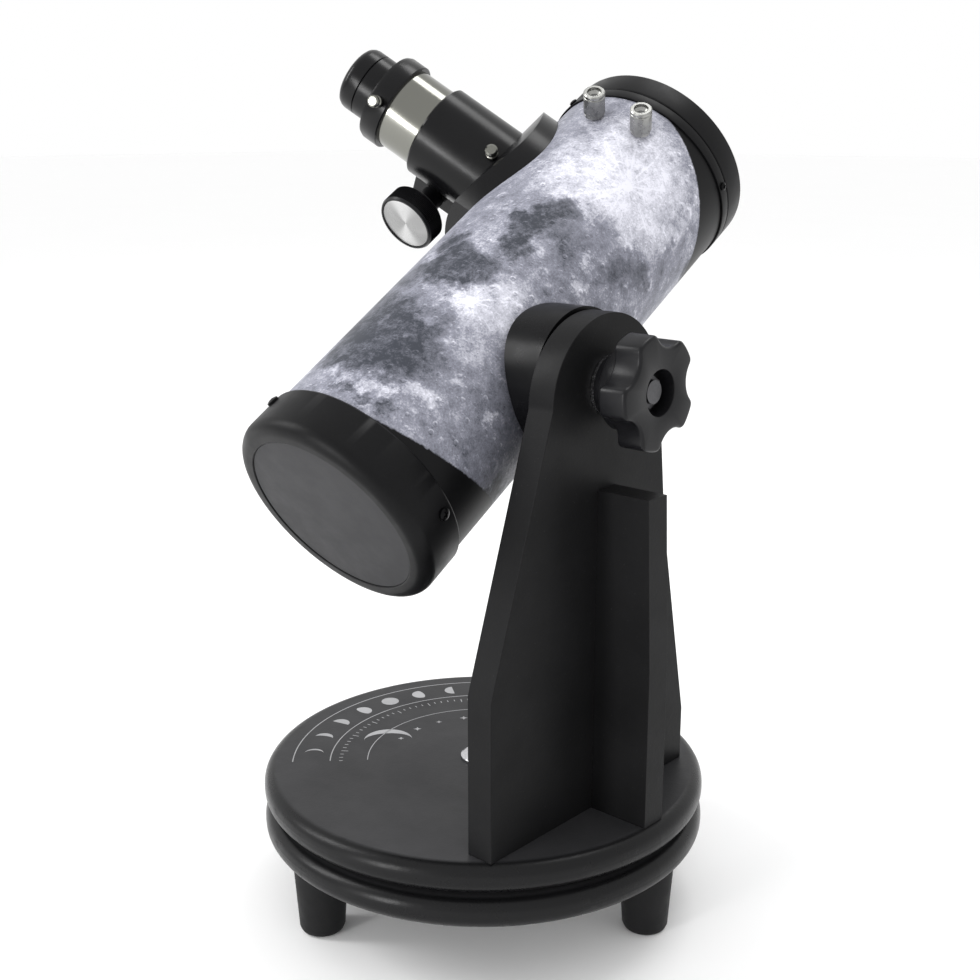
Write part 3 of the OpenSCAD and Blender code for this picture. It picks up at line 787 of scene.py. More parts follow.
def lathe(profile: Outline, closed: bool = False, steps: int = 128) -> bmesh.types.BMesh:
    """Spins a profile about Z.

    Args:
        profile: Radius and height of each corner, in metres.
        closed: Whether the last corner joins the first, as on a ring.
        steps: Number of faces round the piece.

    Returns:
        The closed mesh, its faces outwards.
    """
    bm = bmesh.new()
    corners = [bm.verts.new((radius, 0, height)) for radius, height in profile]
    edges = [bm.edges.new(pair) for pair in zip(corners, corners[1:])]
    if closed:
        edges.append(bm.edges.new((corners[-1], corners[0])))
    bmesh.ops.spin(bm, geom=corners + edges, cent=(0, 0, 0), axis=(0, 0, 1),
                   angle=FULL_TURN, steps=steps, use_merge=True)
    bmesh.ops.remove_doubles(bm, verts=bm.verts, dist=1e-7)
    bmesh.ops.recalc_face_normals(bm, faces=bm.faces)
    return bm


def round_edges(bm: bmesh.types.BMesh, width: float, segments: int = 3,
                sharper_than: float = 28.0) -> bmesh.types.BMesh:
    """Rounds every sharp edge.

    Args:
        bm: The mesh to change.
        width: The rounding's width in metres.
        segments: Faces across the rounding.
        sharper_than: Least angle between two faces, in degrees, that counts as sharp.

    Returns:
        The same mesh.
    """
    limit = math.radians(sharper_than)
    sharp = [e for e in bm.edges if len(e.link_faces) == 2 and e.calc_face_angle(0) > limit]
    bmesh.ops.bevel(bm, geom=sharp, offset=width, offset_type="OFFSET", affect="EDGES",
                    segments=segments, profile=0.5, material=-1, clamp_overlap=True,
                    miter_outer="ARC")
    return bm


def node_copy(node: str, flatten: float = 0.4) -> bmesh.types.BMesh:
    """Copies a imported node's mesh, with its loose triangles joined up.

    Args:
        node: The node's name.
        flatten: Faces that meet at less than this many degrees become one.

    Returns:
        The copy, in the shared frame.
    """
    bm = bmesh.new()
    bm.from_mesh(frame["nodes"][node].data)
    bmesh.ops.remove_doubles(bm, verts=bm.verts, dist=2e-6)
    bmesh.ops.dissolve_limit(bm, angle_limit=math.radians(flatten), verts=bm.verts,
                             edges=bm.edges)
    return bm


def ribs(bm: bmesh.types.BMesh, low: float, high: float, radius: float, depth: float,
         every: int = 1, gap: float = 0.28) -> bmesh.types.BMesh:
    """Cuts grip grooves into the outer band between two heights.

    Args:
        bm: A lathed mesh.
        low: Lowest height of the band's faces, in metres.
        high: Highest height of the band's faces.
        radius: Least distance of the band from the axis.
        depth: Depth of each groove.
        every: One face in this many gets a groove.
        gap: Part of a face's width that stays as rib on each side.

    Returns:
        The same mesh.
    """
    band = [f for f in bm.faces
            if low <= f.calc_center_median().z <= high
            and math.hypot(*f.calc_center_median().xy) >= radius
            and abs(f.normal.z) < 0.2]
    band.sort(key=lambda f: math.atan2(f.calc_center_median().y, f.calc_center_median().x))
    picked = band[::every]
    width = min(e.calc_length() for e in picked[0].edges)
    bmesh.ops.inset_individual(bm, faces=picked, thickness=width * gap, depth=0.0,
                               use_even_offset=True)
    for face in picked:
        middle = face.calc_center_median()
        inward = Vector((-middle.x, -middle.y, 0)).normalized() * depth
        bmesh.ops.translate(bm, verts=face.verts, vec=inward)
    return bm


def pierce(bm: bmesh.types.BMesh, inside: Callable[[Vector], bool]) -> bmesh.types.BMesh:
    """Opens a hole through a thin lathed wall and closes the hole's own edge.

    Args:
        bm: A lathed wall whose outer and inner faces lie in pairs.
        inside: Tells whether a face with this centre belongs to the hole.

    Returns:
        The same mesh.
    """
    gone = [f for f in bm.faces if inside(f.calc_center_median())]
    bmesh.ops.delete(bm, geom=gone, context="FACES")
    rim = [e for e in bm.edges if e.is_boundary]
    bmesh.ops.bridge_loops(bm, edges=rim)
    bmesh.ops.recalc_face_normals(bm, faces=bm.faces)
    return bm


def stations(low: float, high: float, step: float) -> list[float]:
    """Gives evenly spread places from low to high, both included."""
    count = max(1, round((high - low) / step))
    return [low + (high - low) * i / count for i in range(count + 1)]


def plate(outline: Outline, thickness: float) -> bmesh.types.BMesh:
    """Makes a flat plate that stands on Z = 0.

    Args:
        outline: Its corners, in metres.
        thickness: Its thickness in metres.

    Returns:
        The closed mesh, its faces outwards.
    """
    bm = bmesh.new()
    face = bm.faces.new([bm.verts.new((x, y, 0)) for x, y in outline])
    grown = bmesh.ops.extrude_face_region(bm, geom=[face])
    raised = [v for v in grown["geom"] if isinstance(v, bmesh.types.BMVert)]
    bmesh.ops.translate(bm, verts=raised, vec=(0, 0, thickness))
    bmesh.ops.recalc_face_normals(bm, faces=bm.faces)
    return bm


def loft(loops: list[list[Vector]]) -> bmesh.types.BMesh:
    """Joins closed loops of equally many points, and caps both ends.

    Args:
        loops: The loops, from one end of the piece to the other.

    Returns:
        The closed mesh, its faces outwards.
    """
    bm = bmesh.new()
    rings = [[bm.verts.new(point) for point in loop] for loop in loops]
    for first, second in zip(rings, rings[1:]):
        for i in range(len(first)):
            bm.faces.new((first[i - 1], first[i], second[i], second[i - 1]))
    bm.faces.new(rings[0])
    bm.faces.new(rings[-1])
    bmesh.ops.recalc_face_normals(bm, faces=bm.faces)
    return bm


@dataclass
class Workshop:
    """Turns finished meshes into pieces that ride on their bodies."""

    palette: Palette
    made: int = 0

    def piece(self, name: str, bm: bmesh.types.BMesh, place: Matrix, body: Body, slot: str,
              nodes: tuple[str, ...] = (), material: str | None = None,
              smooth: float = 32.0) -> bpy.types.Object:
        """Makes a piece.

        Args:
            name: The piece's name.
            bm: Its mesh in its own space, which this frees.
            place: From its own space to the shared frame.
            body: The body it rides on.
            slot: The record's material slot it belongs to.
            nodes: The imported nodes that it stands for.
            material: Its material's name, where that isn't the slot's.
            smooth: Angle in degrees below which neighbouring faces shade as one.

        Returns:
            The new object.
        """
        bm.transform(place)
        mesh = bpy.data.meshes.new(name)
        bm.to_mesh(mesh)
        bm.free()
        mesh.shade_smooth()
        mesh.set_sharp_from_angle(angle=math.radians(smooth))
        mesh.materials.append(self.palette[material or slot])
        item = bpy.data.objects.new(name, mesh)
        bpy.context.scene.collection.objects.link(item)
        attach(item, body.value)
        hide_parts(*nodes)
        self.made += 1
        LOG.info("%s: %d faces, on %s", name, len(mesh.polygons), body.value)
        return item

    def softened(self, node: str, body: Body, slot: str, width: float = 0.4 * MM,
                 segments: int = 2) -> bpy.types.Object:
        """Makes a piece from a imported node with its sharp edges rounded.

        Args:
            node: The node's name.
            body: The body it rides on.
            slot: The record's material slot it belongs to.
            width: The rounding's width in metres.
            segments: Faces across the rounding.

        Returns:
            The new object.
        """
        bm = round_edges(node_copy(node), width, segments)
        item = self.piece(node + "_finished", bm, UPRIGHT, body, slot, (node,), smooth=60)
        flat = item.modifiers.new("flat_faces", "WEIGHTED_NORMAL")
        flat.keep_sharp = True
        flat.weight = 90
        return item


# ---------- Sub-assemblies ----------


@dataclass
class Base:
    """The feet, the print on the upper round plate and the centre bolt."""

    shop: Workshop
    foot_top: float = 12.8 * MM
    foot_bottom: float = 10.6 * MM
    foot_height: float = 36 * MM
    toe: float = 3 * MM
    screw_well: float = 4.5 * MM
    well_depth: float = 20 * MM
    print_height: float = 0.06 * MM
    phase_ring: float = 83 * MM
    phase_radius: float = 4.6 * MM
    lines_mm: tuple[tuple[float, float], ...] = ((74, 0.5), (92, 0.5), (56, 0.4))
    print_start: float = 112.0
    print_end: float = 226.0
    marks: int = 39
    mark_step: float = 3.0
    mark_radius: float = 70 * MM

    def feet(self) -> None:
        """Builds the three tapered feet, each with its screw well."""
        for number in (1, 2, 3):
            low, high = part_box(f"foot_{number}")
            centre = (low + high) / 2
            profile = [
                (0, self.well_depth), (self.screw_well, self.well_depth),
                (self.screw_well, 0), (self.foot_bottom - self.toe, 0),
                (self.foot_bottom - self.toe * 0.3, self.toe * 0.3),
                (self.foot_bottom, self.toe), (self.foot_top, self.foot_height),
                (0, self.foot_height),
            ]
            bm = round_edges(lathe(profile, steps=72), 0.5 * MM)
            place = Matrix.Translation((centre.x, centre.y, low.z))
            self.shop.piece(f"foot_{number}_moulded", bm, place, Body.BASE, "foot_rubber",
                       (f"foot_{number}",))

    def phase(self, lit: float, steps: int = 20) -> Outline:
        """Outlines the lit part of a moon.

        Args:
            lit: From -1, full, through 0, half, to 1, new.
            steps: Points along each side.

        Returns:
            The outline, for a moon of radius 1.
        """
        turns = [math.pi * (i / steps - 0.5) for i in range(steps + 1)]
        limb = [(math.cos(a), math.sin(a)) for a in turns]
        edge = [(lit * math.cos(a), math.sin(a)) for a in reversed(turns[1:-1])]
        return limb + edge

    def arc_band(self, radius: float, width: float, start: float, end: float) -> Outline:
        """Outlines a stretch of a thin ring.

        Args:
            radius: Its inner radius in metres.
            width: Its width in metres.
            start: The angle where it starts, in degrees.
            end: The angle where it ends.

        Returns:
            The outline.
        """
        count = max(2, int((end - start) / 2))
        turns = [math.radians(start + (end - start) * i / count) for i in range(count + 1)]
        outer = [((radius + width) * math.cos(a), (radius + width) * math.sin(a)) for a in turns]
        inner = [(radius * math.cos(a), radius * math.sin(a)) for a in reversed(turns)]
        return outer + inner

    def moon_print(self) -> None:
        """Prints a ring of moon phases, two scales and a large crescent on the upper plate."""
        low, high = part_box("rotating_plate")
        parts: list[tuple[Outline, Matrix]] = []
        shades = (0.7, 0.35, 0.0, -0.4, -0.999, -0.4, 0.0, 0.35, 0.7)
        first, last = self.print_start, self.print_end
        for i, lit in enumerate(shades):
            angle = math.radians(first + (last - first) * (i + 0.5) / len(shades))
            flip = math.pi if i > len(shades) // 2 else 0.0
            spot = Matrix.Rotation(angle, 4, "Z") @ Matrix.Translation((self.phase_ring, 0, 0))
            turn = Matrix.Rotation(math.pi / 2 + flip, 4, "Z")
            parts.append((self.phase(lit), spot @ turn @ Matrix.Scale(self.phase_radius, 4)))
        for radius, width in self.lines_mm:
            parts.append((self.arc_band(radius * MM, width * MM, first, last), UPRIGHT))
        for i in range(self.marks):
            angle = first + self.mark_step * i
            length = (3.4 if i % 5 == 0 else 1.8) * MM
            parts.append((self.arc_band(self.mark_radius - length, length, angle, angle + 0.35),
                          UPRIGHT))
        crescent = Matrix.Translation((-48 * MM, -18 * MM, 0)) @ Matrix.Rotation(2.4, 4, "Z")
        parts.append((self.phase(0.62), crescent @ Matrix.Scale(12 * MM, 4)))
        for i in range(5):
            angle = math.radians(128 + 17 * i)
            spot = Matrix.Translation((46 * MM * math.cos(angle), 46 * MM * math.sin(angle), 0))
            star = [((1 if k % 2 else 0.38) * math.cos(math.pi * k / 4),
                     (1 if k % 2 else 0.38) * math.sin(math.pi * k / 4)) for k in range(8)]
            parts.append((star, spot @ Matrix.Scale((1.6 + 0.5 * (i % 2)) * MM, 4)))
        whole = bmesh.new()
        for outline, place in parts:
            points = [(place @ Vector((x, y, 0))).xy for x, y in outline]
            one = plate([(p.x, p.y) for p in points], self.print_height)
            part = bpy.data.meshes.new("part")
            one.to_mesh(part)
            one.free()
            whole.from_mesh(part)
            bpy.data.meshes.remove(part)
        lift = Matrix.Translation((0, 0, high.z - 0.02 * MM))
        self.shop.piece("plate_print", whole, lift, Body.TURNTABLE, "slip_pad", (), "white_ink")

    def build(self) -> None:
        """Builds the sub-assembly."""
        self.feet()
        self.shop.softened("azimuth_bolt", Body.BASE, "zinc_steel", 0.3 * MM)
        self.moon_print()


@dataclass
class Arm:
    """The upright board, its brace, the pivot's boss and the star knob."""

    shop: Workshop
    board_edge: float = 0.9 * MM
    tip: float = 24.6 * MM
    valley: float = 18.8 * MM
    valley_arc: float = 11 * MM
    corner: float = 3.2 * MM
    lobes: int = 5
    first_lobe: float = math.radians(41)
    knob_back: float = 73.6 * MM
    skirt_back: float = 79 * MM
    head_back: float = 84.8 * MM
    recess_floor: float = 90 * MM
    knob_face: float = 97.8 * MM
    knob_bore: float = 7.6 * MM
    hub_radius: float = 13.5 * MM
    skirt_radius: float = 17.8 * MM
    recess_radius: float = 9.7 * MM

    def star(self, inset: float, height: float) -> list[Vector]:
        """Outlines the star knob: lobes with rounded corners between shallow valleys.

        Args:
            inset: How far the outline is drawn in, in metres.
            height: Its place along the altitude axis.

        Returns:
            The outline's points, about the altitude axis.
        """
        tip, arc = self.tip - inset, self.valley_arc + inset
        corner = self.corner - inset
        reach = self.valley + self.valley_arc
        inner = tip - corner
        apart = math.acos((inner ** 2 + reach ** 2 - (arc + corner) ** 2)
                          / (2 * inner * reach))
        half = math.pi / self.lobes
        points = []
        for lobe in range(self.lobes):
            middle = self.first_lobe + lobe * 2 * half
            side = half - apart
            steps = [middle + side * (k / 4 - 1) for k in range(9)]
            points += [(tip * math.cos(a), tip * math.sin(a)) for a in steps]
            centre = Vector((math.cos(middle + side), math.sin(middle + side))) * inner
            dip = Vector((math.cos(middle + half), math.sin(middle + half))) * reach
            towards = math.atan2(*(dip - centre).yx)
            swing = (towards - (middle + side) + math.pi) % FULL_TURN - math.pi
            for k in range(1, 7):
                a = middle + side + swing * k / 6
                points.append((centre.x + corner * math.cos(a), centre.y + corner * math.sin(a)))
            start = math.atan2(*(centre - dip).yx)
            opening = (middle + half + math.pi - start + math.pi) % FULL_TURN - math.pi
            for k in range(1, 12):
                a = start + 2 * opening * k / 12
                points.append((dip.x + arc * math.cos(a), dip.y + arc * math.sin(a)))
            next_side = middle + 2 * half - side
            centre = Vector((math.cos(next_side), math.sin(next_side))) * inner
            for k in range(6, 0, -1):
                a = next_side - swing * k / 6
                points.append((centre.x + corner * math.cos(a), centre.y + corner * math.sin(a)))
        return [Vector((x, y, height)) for x, y in points]

    def knob(self) -> None:
        """Builds the star knob: stepped hub, lobed head with soft edges, and a recess."""
        head, face = self.head_back, self.knob_face
        bore, hub, skirt, lip = (self.knob_bore, self.hub_radius, self.skirt_radius,
                                 self.recess_radius)
        outline = self.star(0, 0)

        def ring(radius: float, height: float) -> list[Vector]:
            """Gives a round loop with the star's own number of points."""
            return [Vector((*(p.xy.normalized() * radius), height)) for p in outline]

        arc = [math.radians(a) for a in range(0, 91, 18)]
        back, front = 0.8 * MM, 1.5 * MM
        loops = [ring(bore, self.knob_back), ring(hub, self.knob_back),
                 ring(hub, self.skirt_back), ring(skirt - 0.5 * MM, self.skirt_back),
                 ring(skirt, self.skirt_back + 0.5 * MM), ring(skirt, head)]
        loops += [self.star(back * (1 - math.sin(a)), head + back * (1 - math.cos(a)))
                  for a in arc]
        loops += [self.star(front * (1 - math.cos(a)), face - front * (1 - math.sin(a)))
                  for a in arc]
        loops += [ring(lip + 0.6 * MM, face), ring(lip + 0.15 * MM, face - 0.2 * MM),
                  ring(lip, face - 0.6 * MM), ring(lip, self.recess_floor),
                  ring(bore, self.recess_floor)]
        self.shop.piece("tension_knob_moulded", loft(loops), PLACES.pivot, Body.TENSION_KNOB,
                   "knob_plastic", ("tension_knob",), smooth=40)

    def build(self) -> None:
        """Builds the sub-assembly."""
        self.shop.softened("arm_panel", Body.TURNTABLE, "arm_board", self.board_edge, 3)
        self.shop.softened("arm_brace", Body.TURNTABLE, "arm_board", self.board_edge, 3)
        self.shop.softened("pivot_boss", Body.TUBE, "pivot_plastic", 0.6 * MM, 3)
        self.shop.softened("outer_washer", Body.TURNTABLE, "zinc_steel", 0.2 * MM)
        self.knob()


@dataclass
class Tube:
    """The printed film, the rear cup and disc, the front ring and the dust cover."""

    shop: Workshop
    film_radius: float = 49 * MM
    film_thick: float = 0.3 * MM
    focuser_hole: float = 24 * MM
    hole_rear: float = 70 * MM
    hole_front: float = 126 * MM
    hole_step: float = 2 * MM
    film_rear: float = -78.9 * MM
    film_front: float = 144.9 * MM
    cup_radius: float = 50.6 * MM
    cup_round: float = 6 * MM
    cup_rear: float = -102.4 * MM
    cup_front: float = -79 * MM
    disc_radius: float = 41.4 * MM
    ring_radius: float = 50 * MM
    ring_rear: float = 145 * MM
    ring_front: float = 150.2 * MM
    ring_bore: float = 46.5 * MM
    ring_skirt: float = 48.68 * MM
    skirt_front: float = 149.1 * MM
    cover_rear: float = 150.7 * MM
    cover_front: float = 163.5 * MM
    cover_thick: float = 3.8 * MM
    plug_radius: float = 46.3 * MM
    plug_bore: float = 44.2 * MM
    plug_rear: float = 143.5 * MM

    def film(self) -> None:
        """Wraps the printed film, with its own flat map in metres."""
        inner = self.film_radius - self.film_thick
        back = PLACES.tube.inverted()
        centre = (back @ PLACES.focuser).translation
        out = (back @ PLACES.focuser).to_3x3().col[2]
        places = [self.film_rear, *stations(self.hole_rear, self.hole_front, self.hole_step),
                  self.film_front]
        bm = lathe([(self.film_radius, z) for z in places]
                   + [(inner, z) for z in reversed(places)], closed=True, steps=256)

        def under_focuser(point: Vector) -> bool:
            """Tells whether a point of the film lies in the focuser's hole.

            Args:
                point: The point, in the tube's own space.

            Returns:
                Whether it does.
            """
            offset = point - centre
            reach = offset.dot(out)
            return reach > 0 and (offset - out * reach).length < self.focuser_hole

        pierce(bm, under_focuser)
        layer = bm.loops.layers.uv.new(LunarFilm.map_name)
        for face in bm.faces:
            middle = face.calc_center_median()
            centre_turn = math.atan2(middle.x, -middle.y)
            for loop in face.loops:
                turn = math.atan2(loop.vert.co.x, -loop.vert.co.y)
                turn += FULL_TURN * round((centre_turn - turn) / FULL_TURN)
                loop[layer].uv = (turn * self.film_radius, loop.vert.co.z)
        self.shop.piece("moon_film", bm, PLACES.tube, Body.TUBE, "moon_print", ("moon_wrap",))

    def rear(self) -> None:
        """Builds the moulded rear cup and the flat disc let into it."""
        recess = 1.2 * MM
        wall = self.film_radius - self.film_thick
        arc = [math.radians(a) for a in range(0, 91, 9)]
        corner = [
            (self.cup_radius - self.cup_round * (1 - math.sin(a)),
             self.cup_rear + self.cup_round * (1 - math.cos(a))) for a in arc
        ]
        profile = [
            (0, self.cup_rear + recess), (self.disc_radius + 0.1 * MM, self.cup_rear + recess),
            (self.disc_radius + 0.1 * MM, self.cup_rear + 0.3 * MM),
            (self.disc_radius + 0.5 * MM, self.cup_rear), *corner,
            (self.cup_radius, self.cup_front - 0.8 * MM),
            (self.cup_radius - 0.5 * MM, self.cup_front),
            (wall, self.cup_front), (wall, -98.3 * MM), (0, -98.3 * MM),
        ]
        self.shop.piece("rear_cup_moulded", lathe(profile, steps=192), PLACES.tube, Body.TUBE,
                   "cell_plastic", ("rear_cup",))
        face = self.cup_rear + 0.5 * MM
        disc = lathe([(0, face + 0.9 * MM), (self.disc_radius, face + 0.9 * MM),
                      (self.disc_radius, face), (0, face)], steps=128)
        self.shop.piece("rear_disc_matt", round_edges(disc, 0.25 * MM), PLACES.tube, Body.TUBE,
                   "disc_label", ("rear_disc",))

    def front(self) -> None:
        """Builds the front ring and the push-in dust cover with its rim and recess."""
        ring = lathe([
            (self.ring_bore, self.skirt_front), (self.ring_skirt, self.skirt_front),
            (self.ring_skirt, self.ring_rear), (self.ring_radius, self.ring_rear),
            (self.ring_radius, self.ring_front), (self.ring_bore, self.ring_front),
        ], closed=True, steps=192)
        self.shop.piece("front_ring_moulded", round_edges(ring, 0.35 * MM), PLACES.tube, Body.TUBE,
                   "cell_plastic", ("front_ring",))
        back, face = self.cover_rear, self.cover_front
        cover = lathe([
            (0, face - self.cover_thick), (self.plug_bore, face - self.cover_thick),
            (self.plug_bore, self.plug_rear), (self.plug_radius, self.plug_rear),
            (self.plug_radius, back), (self.ring_radius, back),
            (self.ring_radius, face), (46.6 * MM, face), (45.6 * MM, face - 1.8 * MM),
            (30 * MM, face - 1.8 * MM), (29.4 * MM, face - 2.2 * MM), (0, face - 2.2 * MM),
        ], steps=192)
        self.shop.piece("dust_cover_moulded", round_edges(cover, 0.7 * MM, 4, 40), PLACES.tube,
                   Body.DUST_COVER, "cell_plastic", ("dust_cover",))

    def finder_nuts(self) -> None:
        """Builds the two knurled thumb nuts that would hold a finder."""
        bore, radius, height = 2.05 * MM, 5.2 * MM, 13 * MM
        for number, body in ((1, Body.FINDER_NUT_1), (2, Body.FINDER_NUT_2)):
            name = f"finder_nut_{number}"
            axis = Vector(joint(name + "_turn")["axis"])
            base = Vector(joint(name + "_turn")["pos_m"])
            low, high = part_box(name)
            base += axis * ((low + high) / 2 - base).dot(axis) - axis * height / 2
            neck = radius - 0.6 * MM
            bm = lathe([
                (bore, 0), (neck, 0), (neck, 1.6 * MM), (radius - 0.3 * MM, 1.6 * MM),
                (radius - 0.1 * MM, 1.9 * MM), (radius - 0.1 * MM, height - 2.2 * MM),
                (radius - 0.5 * MM, height - 1.9 * MM), (radius - 0.1 * MM, height - 1.5 * MM),
                (radius - 0.1 * MM, height - 0.5 * MM), (radius - 0.6 * MM, height),
                (3.4 * MM, height), (3.4 * MM, height - 1.6 * MM),
                (bore, height - 2.6 * MM),
            ], closed=True, steps=96)
            ribs(bm, 2 * MM, height - 2.4 * MM, radius - 0.3 * MM, 0.09 * MM, 2)
            self.shop.piece(name + "_knurled", bm, place_along(base, axis, Vector((0, 0, 1))), body,
                       "nickel_brass", (name,), smooth=40)

    def build(self) -> None:
        """Builds the sub-assembly."""
        self.film()
        self.rear()
        self.front()
        self.finder_nuts()


@dataclass
class Focuser:
    """The rack focuser: saddle, pinion housing, drawtube, knobs, thumbscrews and eyepiece."""

    shop: Workshop
    draw_radius: float = 20.6 * MM
    draw_bore: float = 18.9 * MM
    draw_low: float = 40 * MM
    rack_low: float = 53.7 * MM
    collar_low: float = 112.3 * MM
    collar_height: float = 11.3 * MM
    collar_radius: float = 22.6 * MM
    socket: float = 15.925 * MM
    eye_low: float = 123.8 * MM
    eye_top: float = 142 * MM
    eye_radius: float = 16.3 * MM
    knob_radius: float = 15.4 * MM
    knob_thick: float = 11.5 * MM
    knob_face: float = 37.8 * MM
    disc_radius: float = 13.8 * MM

    def drawtube(self) -> None:
        """Builds the chromed drawtube and the collar on its end."""
        rack_low, rack_top = self.rack_low, self.collar_low - 6.2 * MM
        places = [self.draw_low, *stations(rack_low, rack_top, 4 * MM), self.collar_low]
        tube = lathe([(self.draw_radius, z) for z in places]
                     + [(self.draw_bore, z) for z in reversed(places)], closed=True, steps=192)
        pierce(tube, lambda at: at.x < 0 and abs(at.y) < 3.4 * MM
               and rack_low < at.z < rack_top)
        self.shop.piece("drawtube_chromed", tube, PLACES.focuser, Body.DRAWTUBE, "chromed_tube",
                   ("drawtube",))
        low, top, out = self.collar_low, self.collar_low + self.collar_height, self.collar_radius
        collar = lathe([
            (self.socket, low - 6 * MM), (self.draw_bore - 0.05 * MM, low - 6 * MM),
            (self.draw_bore - 0.05 * MM, low), (out - 0.5 * MM, low), (out, low + 0.5 * MM),
            (out, top - 2.6 * MM), (out - 0.8 * MM, top - 0.8 * MM), (out - 2.6 * MM, top),
            (self.socket, top),
        ], closed=True, steps=192)
        self.shop.piece("eyepiece_collar_turned", round_edges(collar, 0.25 * MM, 2, 50),
                   PLACES.focuser, Body.DRAWTUBE, "black_alloy", ("eyepiece_collar",))

    def focus_knobs(self) -> None:
        """Builds both ribbed focus knobs, each with its turned disc."""
        place = PLACES.on_joint("focus_turn")
        face, back = self.knob_face, self.knob_face - self.knob_thick
        for name, side in (("front", 1), ("rear", -1)):
            turned = place @ Matrix.Rotation(0 if side > 0 else math.pi, 4, "X")
            radius = self.knob_radius
            knob = lathe([
                (0, 14 * MM), (6 * MM, 14 * MM), (6 * MM, back), (radius - 1.2 * MM, back),
                (radius, back + 1.2 * MM), (radius, face - 1.2 * MM),
                (radius - 0.7 * MM, face), (self.disc_radius + 0.05 * MM, face),
                (self.disc_radius + 0.05 * MM, face - 1.4 * MM), (0, face - 1.4 * MM),
            ], steps=144)
            ribs(knob, back + 1.3 * MM, face - 1.3 * MM, radius - 0.3 * MM, 0.28 * MM, 1)
            self.shop.piece(f"focus_knob_{name}_ribbed", knob, turned, Body.FOCUS_PINION,
                       "knob_plastic", (f"focus_knob_{name}",), smooth=40)
            disc = lathe([
                (0, face - 1.35 * MM), (self.disc_radius, face - 1.35 * MM),
                (self.disc_radius, face - 0.5 * MM), (self.disc_radius - 0.5 * MM, face - 0.2 * MM),
                (2.2 * MM, face - 0.2 * MM), (1.2 * MM, face - 0.55 * MM), (0, face - 0.6 * MM),
            ], steps=128)
            self.shop.piece(f"knob_disc_{name}_turned", disc, turned, Body.FOCUS_PINION,
                       "bright_alloy", (f"knob_disc_{name}",))

    def thumbscrews(self) -> None:
        """Builds the two chromed thumbscrews, with ribbed heads and waists."""
        wanted = (
            ("focus_lock_screw", "focus_lock_turn", Body.FOCUS_LOCK, 3.0, 2.0, 2.2),
            ("collar_screw", "collar_screw_turn", Body.COLLAR_SCREW, 2.9, 1.8, 4.5),
        )
        head = 7 * MM
        for name, hinge, body, radius_mm, shank_mm, below_mm in wanted:
            axis = Vector(joint(hinge)["axis"])
            point = Vector(joint(hinge)["pos_m"])
            low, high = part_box(name)
            middle = ((low + high) / 2 - point).dot(axis)
            base = point + axis * (middle + (below_mm * MM - head) / 2)
            r, shank = radius_mm * MM, shank_mm * MM
            bm = lathe([
                (0, -below_mm * MM), (shank, -below_mm * MM), (shank, 0), (r - 0.5 * MM, 0),
                (r, 0.5 * MM), (r, head * 0.38), (r * 0.72, head * 0.46),
                (r * 0.72, head * 0.56), (r, head * 0.64), (r, head - 0.8 * MM),
                (r - 0.8 * MM, head), (0, head),
            ], steps=64)
            ribs(bm, head * 0.65, head - 0.7 * MM, r - 0.1 * MM, 0.12 * MM, 2)
            self.shop.piece(name + "_ribbed", bm, place_along(base, axis, Vector((0, 0, 1))), body,
                       "chromed_tube", (name,), smooth=40)

    def eyepiece(self) -> None:
        """Builds the eyepiece's body, with grip rings and a dished eye end."""
        low, top, r = self.eye_low, self.eye_top, self.eye_radius
        profile = [
            (11 * MM, low), (r - 0.5 * MM, low), (r, low + 0.5 * MM),
            (r, low + 8.2 * MM), (r - 0.5 * MM, low + 8.6 * MM), (r, low + 9 * MM),
            (r, top - 4.2 * MM), (r - 0.35 * MM, top - 2.6 * MM),
            (r - 1.2 * MM, top - 1.2 * MM), (r - 2.5 * MM, top - 0.3 * MM),
            (r - 4 * MM, top), (10.4 * MM, top - 0.1 * MM), (9.4 * MM, top - 1.2 * MM),
            (8.6 * MM, top - 3.4 * MM), (8.6 * MM, top - 6 * MM), (11 * MM, top - 6 * MM),
        ]
        bm = lathe(profile, closed=True, steps=160)
        self.shop.piece("eyepiece_body_turned", bm, PLACES.focuser, Body.EYEPIECE, "black_alloy",
                   ("eyepiece_body",), smooth=36)

    def build(self) -> None:
        """Builds the sub-assembly."""
        self.shop.softened("focuser_flange", Body.TUBE, "black_alloy", 0.7 * MM, 3)
        self.shop.softened("pinion_housing", Body.TUBE, "black_alloy", 0.6 * MM)
        self.drawtube()
        self.focus_knobs()
        self.thumbscrews()
        self.eyepiece()


# ---------- Studio ----------


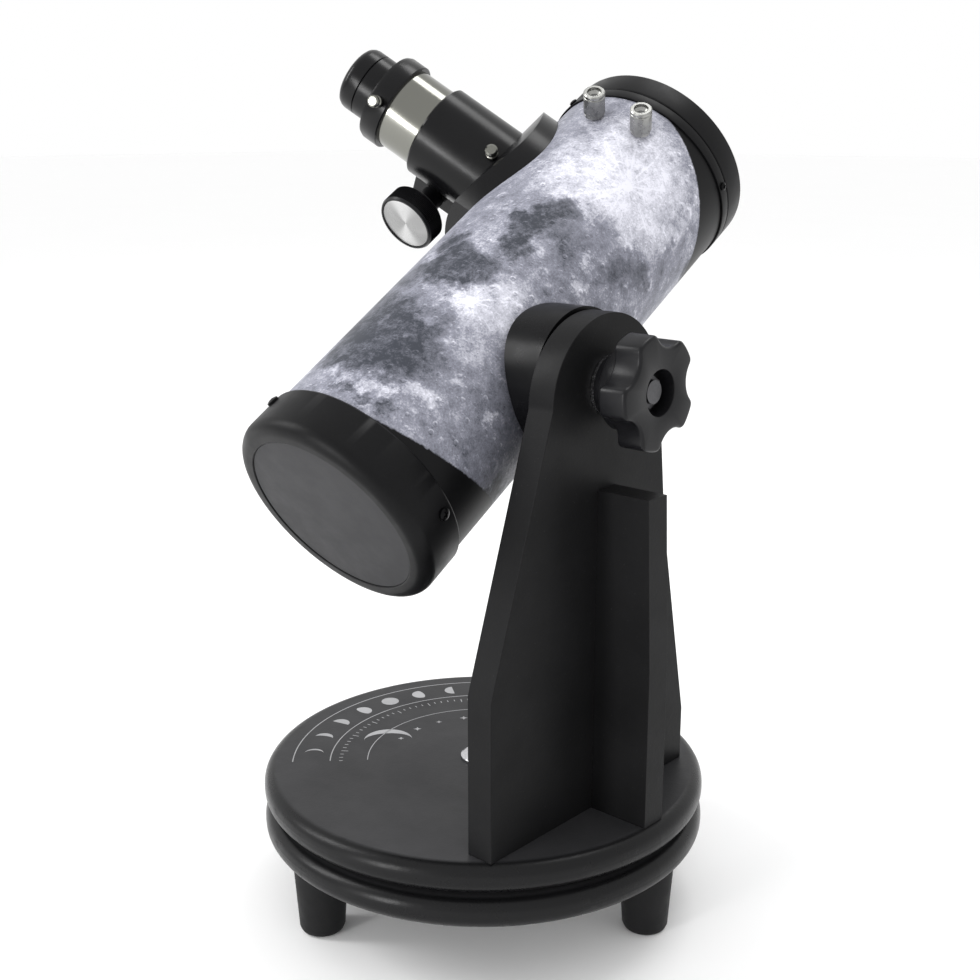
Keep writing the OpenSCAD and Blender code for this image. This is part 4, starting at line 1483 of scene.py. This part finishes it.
@dataclass
class Studio:
    """A pale floor, soft lights and the three-quarter view."""

    azimuth: float = 41.99
    elevation: float = 14.79
    distance: float = 0.6837
    target: tuple[float, float, float] = (-0.02584, 0.03356, 0.1889)
    lens: float = 50.84
    floor_size: float = 30.0

    def floor(self) -> None:
        """Lays the floor."""
        bm = bmesh.new()
        bmesh.ops.create_grid(bm, x_segments=8, y_segments=8, size=self.floor_size / 2)
        mesh = bpy.data.meshes.new("floor")
        bm.to_mesh(mesh)
        bm.free()
        g = Graph("pale_floor")
        g.set(Base_Color=g.mix(g.noise(3, 2), (0.975, 0.975, 0.975), (0.99, 0.99, 0.99)),
              Roughness=0.8)
        mesh.materials.append(g.material)
        item = bpy.data.objects.new("floor", mesh)
        bpy.context.scene.collection.objects.link(item)

    def sky(self) -> None:
        """Sets an even pale surround."""
        world = bpy.data.worlds.new("surround")
        bpy.context.scene.world = world
        world.use_nodes = True
        ground = world.node_tree.nodes["Background"]
        ground.inputs["Color"].default_value = (1.0, 1.0, 1.0, 1.0)
        ground.inputs["Strength"].default_value = 1.0

    def lamp(self, name: str, place: tuple[float, float, float], size: tuple[float, float],
             power: float) -> None:
        """Hangs a soft rectangular light that faces the telescope.

        Args:
            name: The light's name.
            place: Where it hangs, in metres.
            size: Its width and height in metres.
            power: Its power in watts.
        """
        light = bpy.data.lights.new(name, "AREA")
        light.shape = "RECTANGLE"
        light.size, light.size_y = size
        light.energy = power
        item = bpy.data.objects.new(name, light)
        item.location = place
        aim = Vector((0.0, 0.0, 0.2)) - Vector(place)
        item.rotation_euler = aim.to_track_quat("-Z", "Y").to_euler()
        bpy.context.scene.collection.objects.link(item)

    def camera(self) -> None:
        """Sets up the camera."""
        a, e = math.radians(self.azimuth), math.radians(self.elevation)
        back = Vector((math.sin(a) * math.cos(e), -math.cos(a) * math.cos(e), math.sin(e)))
        data = bpy.data.cameras.new("view")
        data.sensor_width = 36.0
        data.lens = self.lens
        item = bpy.data.objects.new("view", data)
        item.location = Vector(self.target) + back * self.distance
        item.rotation_euler = back.to_track_quat("Z", "Y").to_euler()
        bpy.context.scene.collection.objects.link(item)
        bpy.context.scene.camera = item

    def build(self) -> None:
        """Sets up the whole studio."""
        self.floor()
        self.sky()
        self.lamp("key", (-1.2, -1.0, 1.2), (0.35, 0.9), 13)
        self.lamp("side", (-0.15, -1.7, 0.3), (0.22, 0.9), 14)
        self.lamp("top", (0.1, 0.6, 1.8), (0.9, 0.4), 7)
        self.camera()
        bpy.context.scene.view_settings.view_transform = "Standard"


def main() -> None:
    """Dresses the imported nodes, then builds every sub-assembly and the studio."""
    logging.basicConfig(level=logging.INFO, format="%(name)s: %(message)s")
    palette = Palette()
    palette.dress_nodes()
    shop = Workshop(palette)
    for assembly in (Base, Arm, Tube, Focuser):
        assembly(shop).build()
        LOG.info("%s done", assembly.__name__)
    Studio().build()
    LOG.info("%d pieces made", shop.made)


if __name__ == "__main__":
    main()
